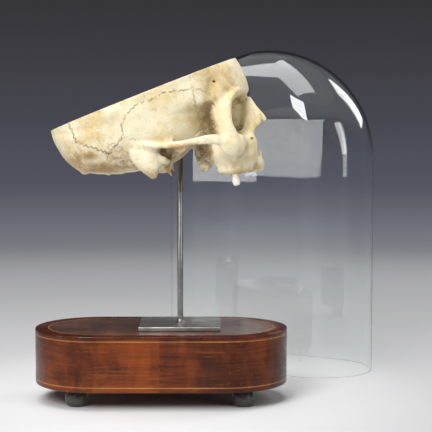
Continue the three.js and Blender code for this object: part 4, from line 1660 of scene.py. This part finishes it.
@dataclass(frozen=True)
class Steel:
    """Worn mild steel with drawn marks, darker where it has tarnished."""

    name: str
    bright: Tint
    dark: Tint
    drawn: Point
    rough: float
    scratched: Tint = (190, 188, 184)

    def paint(self, effects: Effects) -> bpy.types.Material:
        """Builds the material.

        Args:
            effects: The shared effects.

        Returns:
            The material.
        """
        material, wiring, shader = blank(self.name)
        spot = wiring.spot()
        marks = wiring.cloud(wiring.scaled(spot, self.drawn), 1.0, 4.0, 0.6)
        tarnish = wiring.cloud(wiring.scaled(spot, (1, 2.4, 1)), 30.0, 5.0, 0.62, 0.5)
        scuffs = wiring.use(effects.scuffs, {"Place": spot}).outputs
        colour = wiring.mix(wiring.span(tarnish, 0.40, 0.66), shade(*self.bright), shade(*self.dark))
        colour = wiring.mix(wiring.span(marks, 0.35, 0.65, 0.0, 0.35), colour, shade(*self.bright))
        colour = wiring.mix(wiring.times(scuffs["Scratches"], 0.5), colour, shade(*self.scratched))
        wiring.feed(shader.inputs["Base Color"], colour)
        shader.inputs["Metallic"].default_value = 1.0
        rough = wiring.span(tarnish, 0.3, 0.7, self.rough, self.rough + 0.2)
        wiring.feed(shader.inputs["Roughness"], wiring.plus(rough, wiring.times(marks, 0.08)))
        wiring.feed(shader.inputs["Normal"], wiring.bump(marks, 0.00003, 0.6))
        return material


@dataclass(frozen=True)
class Ebonised:
    """Wood stained black and polished, with the brown showing where it has rubbed."""

    black: Tint = (66, 64, 58)
    rubbed: Tint = (82, 66, 52)

    def paint(self, effects: Effects) -> bpy.types.Material:
        """Builds the material.

        Args:
            effects: The shared effects.

        Returns:
            The material.
        """
        material, wiring, shader = blank("ebonised")
        spot = wiring.spot()
        scuffs = wiring.use(effects.scuffs, {"Place": spot}).outputs
        rings = wiring.cloud(wiring.scaled(spot, (20, 20, 700)), 1.0, 3.0)
        worn = wiring.span(rings, 0.58, 0.75, 0.0, 0.35)
        colour = wiring.mix(worn, shade(*self.black), shade(*self.rubbed))
        colour = wiring.mix(wiring.times(scuffs["Specks"], 0.6), colour, shade(*self.rubbed))
        wiring.feed(shader.inputs["Base Color"], colour)
        wiring.feed(shader.inputs["Roughness"], wiring.span(scuffs["Dull"], 0.0, 1.0, 0.26, 0.42))
        wiring.feed(shader.inputs["Normal"], wiring.bump(rings, 0.00005, 0.5))
        return material


@dataclass(frozen=True)
class BlownGlass:
    """Thin clear old glass with a trace of green and a little waviness."""

    tint: Tint = (253, 255, 254)
    ior: float = 1.46
    passing: float = 0.94

    def paint(self) -> bpy.types.Material:
        """Builds the material.

        Returns:
            The material.
        """
        material, wiring, shader = blank("blown_glass")
        shader.inputs["Base Color"].default_value = shade(*self.tint)
        shader.inputs["Transmission Weight"].default_value = 1.0
        shader.inputs["IOR"].default_value = self.ior
        spot = wiring.spot()
        smears = wiring.cloud(spot, 14.0, 4.0, 0.6)
        wiring.feed(shader.inputs["Roughness"], wiring.span(smears, 0.45, 0.75, 0.0, 0.05))
        waves = wiring.cloud(wiring.scaled(spot, (1, 1, 0.5)), 11.0, 2.0)
        wiring.feed(shader.inputs["Normal"], wiring.bump(waves, 0.0006, 0.5))
        clear = wiring.node("BsdfTransparent")
        path = wiring.node("LightPath").outputs
        plain = wiring.maths("MAXIMUM", path["Is Shadow Ray"], path["Is Diffuse Ray"])
        passing = wiring.times(plain, self.passing)
        mixed = wiring.node("MixShader", {0: passing, 1: shader.outputs[0], 2: clear.outputs[0]})
        wiring.feed(material.node_tree.nodes["Material Output"].inputs["Surface"], mixed.outputs[0])
        return material


def dressed(piece: bpy.types.Object, material: bpy.types.Material, *, node: str) -> None:
    """Gives a piece its material, hangs it under the root and hides the model's part that it replaces.

    Args:
        piece: The piece.
        material: Its material.
        node: The node of the model that it replaces.
    """
    piece.data.materials.clear()
    piece.data.materials.append(material)
    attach(piece, "root")
    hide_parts(node)
    LOG.info("%s has %d faces", piece.name, len(piece.data.polygons))


# ---------------------------------------------------------------- the base
@dataclass
class OvalBase:
    """The inlaid base: an oval drum of veneer with a crossbanded top, pale lines and four bun feet.

    All sizes are in millimetres. under is the height of the drum's lower edge, low and high those of the
    lines in its side.
    """

    length: float = 222.0
    depth: float = 114.0
    under: float = 15.4
    top: float = 63.7
    sheet: float = 2.0
    band: float = 11.0
    line: float = 1.35
    string: float = 1.1
    string_deep: float = 0.8
    low: float = 20.0
    high: float = 59.5
    slit: float = 0.03
    steps: int = 44
    bun: tuple[tuple[float, float], ...] = (
        (0, 0), (6.2, 0), (7.6, 0.25), (8.7, 1.2), (9.5, 2.8), (9.95, 5.0), (10, 7.0), (9.7, 9.0),
        (8.9, 10.9), (7.9, 12.1), (7.5, 12.5), (7.7, 12.8), (8.6, 13.2), (8.9, 13.8), (8.8, 14.5),
    )

    def ring(self, bm: bmesh.types.BMesh, inset: float, height: float) -> list[bmesh.types.BMEdge]:
        """Adds one closed oval ring of edges, in millimetres around the base's middle.

        Args:
            bm: The bmesh to add it to.
            inset: How far it lies inside the base's outline.
            height: Its height.

        Returns:
            Its edges.
        """
        radius = self.depth / 2 - inset
        reach = (self.length - self.depth) / 2
        ends = []
        for side in (1, -1):
            start = bm.verts.new((side * reach, -side * radius, height))
            middle = (side * reach, 0, height)
            swept = bmesh.ops.spin(
                bm, geom=[start], cent=middle, axis=(0, 0, 1), angle=math.pi, steps=self.steps,
            )
            last = next(item for item in swept["geom_last"] if isinstance(item, bmesh.types.BMVert))
            ends.append((start, last))
        straights = [bm.edges.new((ends[0][1], ends[1][0])), bm.edges.new((ends[1][1], ends[0][0]))]
        seen, todo = set(straights), list(straights)
        while todo:
            for vert in todo.pop().verts:
                for edge in vert.link_edges:
                    if edge not in seen:
                        seen.add(edge)
                        todo.append(edge)
        return list(seen)

    def drum(
        self, name: str, profile: Sequence[tuple[float, float]], closed: bool = False,
    ) -> bpy.types.Object:
        """Bridges rings into a solid.

        Args:
            name: The object's name.
            profile: Inset and height of each ring, from the bottom's outside on.
            closed: Whether the last ring meets the first; otherwise both ends are capped.

        Returns:
            The object, in metres where it stands.
        """
        bm = bmesh.new()
        rings = [self.ring(bm, inset, height) for inset, height in profile]
        pairs = list(zip(rings[:-1], rings[1:])) + ([(rings[-1], rings[0])] if closed else [])
        for one, other in pairs:
            bmesh.ops.bridge_loops(bm, edges=one + other)
        if not closed:
            for ends in (rings[0], rings[-1]):
                bmesh.ops.contextual_create(bm, geom=ends)
        bmesh.ops.recalc_face_normals(bm, faces=bm.faces)
        self.lay_grain(bm)
        bmesh.ops.scale(bm, vec=(MM, MM, MM), verts=bm.verts)
        bmesh.ops.translate(bm, vec=base_middle(), verts=bm.verts)
        thing = made(name, bm)
        smoothed(thing, 40)
        return thing

    def lay_grain(self, bm: bmesh.types.BMesh) -> None:
        """Lays a UV map, in metres, along the outline and across it, and plain on the flat sheets.

        Args:
            bm: The drum's bmesh, in millimetres.
        """
        layer = bm.loops.layers.uv.new("around")
        reach = (self.length - self.depth) / 2
        half = reach * 2 + math.pi * self.depth / 2
        for face in bm.faces:
            flat = abs(face.normal.z) > 0.7
            sheet = len(face.verts) > 8
            run = []
            for loop in face.loops:
                x, y, z = loop.vert.co
                side = 1 if x > 0 else -1
                if abs(x) <= reach + 1e-6 and abs(abs(x) - reach) > 1e-3:
                    along_it = x
                else:
                    along_it = side * (reach + (self.depth / 2) * math.atan2(abs(x) - reach, abs(y)))
                if y > 0:
                    along_it = half - along_it
                across = math.hypot(max(abs(x) - reach, 0.0), y)
                run.append((x, y) if sheet else (along_it, across if flat else z))
            first = run[0][0]
            for loop, (a, b) in zip(face.loops, run):
                if not sheet and abs(a - first) > half:
                    a -= math.copysign(2 * half, a - first)
                loop[layer].uv = (a * MM, b * MM)

    def foot(self, side: str, end: str) -> bpy.types.Object:
        """Turns one bun foot.

        Args:
            side: Its side, r or l.
            end: Its end, front or back.

        Returns:
            The foot.
        """
        low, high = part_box(f"base_foot_{side}_{end}")
        middle, tall = (low + high) / 2, high.z - low.z
        profile = [(r * MM, z * MM) for r, z in (*self.bun, (8.4, tall / MM), (0, tall / MM))]
        return turned(f"bun_foot_{side}_{end}", profile, Vector((middle.x, middle.y, 0.0)))

    def build(self, effects: Effects) -> None:
        """Makes and dresses the whole base.

        Args:
            effects: The shared effects.
        """
        side = Veneer(Cut.SIDE, (44, 17, 6), (116, 50, 16), (168, 82, 26), 0.26, 0.16).paint(effects)
        band = Veneer(Cut.BAND, (40, 15, 6), (88, 36, 14), (132, 62, 26), 0.26, 0.3).paint(effects)
        top = Veneer(Cut.TOP, (58, 40, 33), (102, 70, 56), (142, 98, 72), 0.3, 0.8, 0.22).paint(effects)
        line = Veneer(Cut.LINE, (122, 74, 36), (172, 112, 58), (202, 146, 84), 0.3, 0.3).paint(effects)
        deep, half = self.string_deep, self.string / 2
        edge = ((6.0, 0.0), (1.2, 0.0), (0.5, 0.25), (0.12, 0.8), (0.0, 1.4))
        wall = [(inset, self.under + up) for inset, up in edge]
        for middle in (self.low, self.high):
            wall += [(0.0, middle - half), (deep, middle - half), (deep, middle + half), (0.0, middle + half)]
        seat = self.top - self.sheet
        wall += [(0.0, seat - self.slit), (6.0, seat - self.slit)]
        dressed(self.drum("base_drum", wall), side, node="base_carcass")
        inside = self.band - self.slit
        border = [
            (0.0, seat), (0.0, self.top - 0.7), (0.12, self.top - 0.3), (0.5, self.top), (inside, self.top),
            (inside, seat),
        ]
        border_drum = self.drum("crossbanded_border", border, closed=True)
        dressed(border_drum, band, node="base_border")
        near, far, proud = self.band, self.band + self.line, self.top + 0.01
        inlay = [(near, seat), (near, proud), (far, proud), (far, seat)]
        dressed(self.drum("top_line", inlay, closed=True), line, node="base_string_top")
        inner = far + self.slit
        sheet = self.drum("top_sheet", [(inner, seat), (inner, self.top)])
        dressed(sheet, top, node="base_field")
        inset, reach = deep - self.slit, half - 0.02
        for name, middle in (("low", self.low), ("high", self.high)):
            bottom, top_edge = middle - reach, middle + reach
            loop = [(inset, bottom), (-0.01, bottom), (-0.01, top_edge), (inset, top_edge)]
            string = self.drum(f"{name}_line", loop, closed=True)
            dressed(string, line, node=f"base_string_{name}")
        black = Ebonised().paint(effects)
        for side_name, _ in SIDES:
            for end in ("front", "back"):
                foot = self.foot(side_name, end)
                dressed(foot, black, node=f"base_foot_{side_name}_{end}")


def turned(
    name: str, profile: Sequence[tuple[float, float]], place: Vector, steps: int = 64,
) -> bpy.types.Object:
    """Turns a profile on the lathe into a round solid.

    Args:
        name: The object's name.
        profile: Radius and height of the profile's corners, in metres, from the axis to the axis.
        place: Where the axis stands.
        steps: How many sides the round has.

    Returns:
        The object.
    """
    bm = bmesh.new()
    verts = [bm.verts.new((radius, 0.0, height)) for radius, height in profile]
    edges = [bm.edges.new(pair) for pair in zip(verts[:-1], verts[1:])]
    bmesh.ops.spin(
        bm, geom=verts + edges, cent=(0, 0, 0), axis=(0, 0, 1), angle=2 * math.pi, steps=steps,
        use_merge=True,
    )
    bmesh.ops.remove_doubles(bm, verts=bm.verts, dist=1e-6)
    bmesh.ops.recalc_face_normals(bm, faces=bm.faces)
    bmesh.ops.translate(bm, vec=place, verts=bm.verts)
    thing = made(name, bm)
    smoothed(thing, 35)
    return thing


# ---------------------------------------------------------------- the stand
@dataclass
class Stand:
    """The steel plate on the base's top and the rod that holds the skull."""

    edge: float = 0.0005
    weld: tuple[tuple[float, float], ...] = (
        (5.0, 0.0), (4.4, 0.5), (3.5, 1.0), (2.9, 1.7), (2.55, 2.8), (2.5, 4.0),
    )
    tip: tuple[tuple[float, float], ...] = ((0.0025, 0.0006), (0.0021, 0.0), (0.0, 0.0))

    def plate(self) -> bpy.types.Object:
        """The plate, with its edges broken.

        Returns:
            The plate.
        """
        low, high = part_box("mount_plate")
        bm = bmesh.new()
        bmesh.ops.create_cube(bm, size=1.0)
        bmesh.ops.scale(bm, vec=high - low, verts=bm.verts)
        bmesh.ops.bevel(
            bm, geom=bm.edges[:], offset=self.edge, affect="EDGES", segments=3, profile=0.5, material=-1,
        )
        bmesh.ops.translate(bm, vec=(low + high) / 2, verts=bm.verts)
        thing = made("steel_plate", bm)
        smoothed(thing, 50)
        return thing

    def rod(self) -> bpy.types.Object:
        """The rod, with its weld at the foot.

        Returns:
            The rod.
        """
        low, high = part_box("mount_rod")
        middle = (low + high) / 2
        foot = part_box("mount_plate")[1].z
        profile = [(0.0, foot)] + [(r * MM, foot + z * MM) for r, z in self.weld]
        profile += [(radius, high.z - down) for radius, down in self.tip]
        return turned("steel_rod", profile, Vector((middle.x, middle.y, 0.0)), 48)

    def build(self, effects: Effects) -> None:
        """Makes and dresses the plate and the rod.

        Args:
            effects: The shared effects.
        """
        flat = Steel("plate_steel", (204, 201, 196), (136, 133, 128), (60, 900, 60), 0.26)
        drawn = Steel("rod_steel", (176, 175, 172), (118, 116, 114), (1500, 1500, 30), 0.2)
        dressed(self.plate(), flat.paint(effects), node="mount_plate")
        dressed(self.rod(), drawn.paint(effects), node="mount_rod")


# ---------------------------------------------------------------- the dome
@dataclass
class GlassDome:
    """The oval glass dome: upright sides that round over into a long crown, with a ground rim at the foot."""

    length: float = 216.0
    depth: float = 106.0
    height: float = 313.0
    wall: float = 2.0
    rise: float = 104.0
    shoulder: float = 72.0
    bulge: float = 1.95
    yaw: float = -31.0
    aside: tuple[float, float] = (102.0, 168.0)
    fine: tuple[int, int] = (160, 96)
    upright: float = 0.25
    straight: float = 0.04

    def face(self, inset: float) -> bmesh.types.BMesh:
        """The dome's outer or inner face, open at the foot.

        It is a sphere whose lower rows are drawn out into the upright sides.

        Args:
            inset: How far it lies inside the outer face.

        Returns:
            The face, in millimetres around the dome's middle.
        """
        columns, rows = self.fine
        bm = bmesh.new()
        bmesh.ops.create_uvsphere(bm, u_segments=columns, v_segments=rows, radius=1.0)
        bottom = [vert for vert in bm.verts if vert.co.z < -1 + 1e-6]
        bmesh.ops.delete(bm, geom=bottom, context="VERTS")
        long_side, short_side = self.length / 2 - inset, self.depth / 2 - inset
        rise, shoulder = self.rise - inset, self.shoulder - inset
        spring = self.height - self.rise
        lowest = math.pi / rows
        for vert in bm.verts:
            angle = math.atan2(vert.co.y, vert.co.x)
            level = (math.acos(max(-1.0, min(1.0, -vert.co.z))) - lowest) / (math.pi - lowest)
            if level < self.upright:
                up = -spring * (1 - level / self.upright)
            else:
                up = rise * math.sin((level - self.upright) / (1 - self.upright) * math.pi / 2)
            wide = long_side * self.dip(up, rise)
            deep = min(short_side * self.dip(up - (rise - shoulder), shoulder), wide)
            across = math.cos(angle)
            shift = (wide - deep) * max(-1.0, min(1.0, across / self.straight))
            vert.co = (deep * across + shift, deep * math.sin(angle), spring + up)
        return bm

    def dip(self, up: float, height: float) -> float:
        """How far a wall has drawn in at a height above its spring."""
        return max(0.0, 1 - max(0.0, up / height) ** self.bulge) ** (1 / self.bulge)

    def build(self) -> None:
        """Makes and dresses the dome."""
        bm = self.face(0.0)
        inner = self.face(self.wall)
        bmesh.ops.reverse_faces(inner, faces=inner.faces)
        mesh = bpy.data.meshes.new("inner")
        inner.to_mesh(mesh)
        inner.free()
        bm.from_mesh(mesh)
        bpy.data.meshes.remove(mesh)
        bmesh.ops.bridge_loops(bm, edges=[edge for edge in bm.edges if edge.is_boundary])
        bmesh.ops.recalc_face_normals(bm, faces=bm.faces)
        turn = Matrix.Rotation(math.radians(self.yaw), 3, "Z")
        bmesh.ops.rotate(bm, cent=(0, 0, 0), matrix=turn, verts=bm.verts)
        bmesh.ops.scale(bm, vec=(MM, MM, MM), verts=bm.verts)
        bmesh.ops.translate(bm, vec=base_middle() + Vector((*self.aside, 0.0)) * MM, verts=bm.verts)
        thing = made("glass_dome", bm)
        smoothed(thing, 40)
        dressed(thing, BlownGlass().paint(), node="dome_glass")


# ---------------------------------------------------------------- the studio
@dataclass(frozen=True)
class Lamp:
    """One soft light: its place in metres around the base's middle, its aim, width, height and power."""

    name: str
    place: Point
    aim: Point
    size: tuple[float, float]
    power: float

    def hang(self) -> None:
        """Hangs the light."""
        lamp = bpy.data.lights.new(self.name, "AREA")
        lamp.shape = "RECTANGLE"
        lamp.size, lamp.size_y = self.size
        lamp.energy = self.power
        thing = bpy.data.objects.new(self.name, lamp)
        bpy.context.scene.collection.objects.link(thing)
        thing.location = base_middle() + Vector(self.place)
        thing.rotation_euler = (Vector(self.aim) - Vector(self.place)).to_track_quat("-Z", "Y").to_euler()


@dataclass
class Studio:
    """The pale sweep, the soft lights and the camera."""

    eye: Point = (48.4, -1200.0, 258.0)
    pitch: float = 4.59
    focal: float = 1370.0
    frame_width: float = 432.0
    sensor: float = 36.0
    sweep_sizes: Point = (1300.0, 900.0, 2600.0)
    clear: float = 0.2
    run: float = 3.6
    # painted shade: the sweep's colour darkens away from the middle and up the backdrop, standing in for the
    # light falling off
    tones: tuple[tuple[float, Tint], ...] = (
        (0.0, (218, 218, 218)), (0.12, (213, 213, 214)), (0.25, (185, 185, 186)), (0.43, (176, 176, 177)),
        (0.64, (170, 170, 171)), (1.11, (161, 161, 166)), (1.77, (110, 111, 123)), (2.22, (90, 90, 101)),
        (2.63, (79, 78, 86)), (3.07, (67, 66, 72)), (3.6, (60, 59, 64)),
    )

    lamps: tuple[Lamp, ...] = (
        Lamp("key", (-0.7, -1.45, 1.3), (0.0, 0.0, 0.15), (0.85, 0.9), 34.0),
        Lamp("fill", (1.5, -1.0, 0.7), (0.05, 0.0, 0.15), (0.4, 0.9), 6.0),
        Lamp("side window", (-1.35, -0.55, 0.3), (0.1, 0.17, 0.2), (0.3, 0.4), 1.5),
        Lamp("top", (-0.2, -0.1, 1.7), (0.0, 0.0, 0.0), (1.5, 1.2), 26.0),
        Lamp("window", (1.2, 0.8, 1.0), (0.1, 0.1, 0.2), (0.5, 0.8), 6.5),
    )
    air: tuple[float, float, float, float] = (0.9, 0.93, 1.0, 1.0)
    air_strength: float = 0.17

    def sweep(self) -> None:
        """The floor that curves up all round into the backdrop."""
        flat, bend, wall = self.sweep_sizes
        profile = [(0.0, 0.0), (flat, 0.0)]
        for angle in np.linspace(0.08, math.pi / 2, 18):
            profile.append((flat + bend * math.sin(angle), bend * (1 - math.cos(angle))))
        profile.append((flat + bend, wall))
        place = base_middle() - Vector((0.0, 0.0, self.clear * MM))
        floor = turned("sweep", [(away * MM, height * MM) for away, height in profile], place, 96)
        floor.data.materials.append(self.paper())

    def paper(self) -> bpy.types.Material:
        """The sweep's material, painted darker away from the middle and up the backdrop as painted shade
        where the light falls off.

        Returns:
            The material.
        """
        material, wiring, shader = blank("sweep")
        spot = wiring.vector("SUBTRACT", wiring.spot(), tuple(base_middle()))
        parts = wiring.parts(spot)
        level = wiring.vector("MULTIPLY", spot, (1, 1, 0))
        away = wiring.node("VectorMath", {0: level}, operation="LENGTH").outputs["Value"]
        run = wiring.plus(away, wiring.times(parts[2], 2.0))
        ramp = wiring.node("ValToRGB", {0: wiring.maths("DIVIDE", run, self.run, clamp=True)})
        ramp.color_ramp.interpolation = "CARDINAL"
        for i, (at, tint) in enumerate(self.tones):
            element = ramp.color_ramp.elements[i] if i < 2 else ramp.color_ramp.elements.new(at / self.run)
            element.position, element.color = at / self.run, shade(*tint)
        wiring.feed(shader.inputs["Base Color"], ramp.outputs[0])
        shader.inputs["Roughness"].default_value = 0.9
        shader.inputs["Specular IOR Level"].default_value = 0.1
        return material

    def camera(self) -> None:
        """Sets the camera up."""
        lens = bpy.data.cameras.new("camera")
        lens.sensor_width, lens.lens = self.sensor, self.focal * self.sensor / self.frame_width
        lens.clip_end = 30.0
        thing = bpy.data.objects.new("camera", lens)
        bpy.context.scene.collection.objects.link(thing)
        thing.location = base_middle() + Vector(self.eye) * MM
        thing.rotation_euler = (math.radians(90.0 - self.pitch), 0.0, 0.0)
        bpy.context.scene.camera = thing

    def build(self) -> None:
        """Sets the studio up."""
        self.sweep()
        self.camera()
        for lamp in self.lamps:
            lamp.hang()
        world = bpy.data.worlds.new("studio")
        world.use_nodes = True
        background = world.node_tree.nodes["Background"]
        background.inputs["Color"].default_value = self.air
        background.inputs["Strength"].default_value = self.air_strength
        bpy.context.scene.world = world
        bpy.context.scene.view_settings.view_transform = "Standard"


# ---------------------------------------------------------------- the whole
def main() -> None:
    """Builds the skull, its stand, its dome and the studio."""
    logging.basicConfig(level=logging.INFO, format="%(name)s: %(message)s")
    Studio().build()
    effects = Effects()
    OvalBase().build(effects)
    Stand().build(effects)
    GlassDome().build()
    skull = Skull()
    skull.build(effects)


if __name__ == "__main__":
    main()
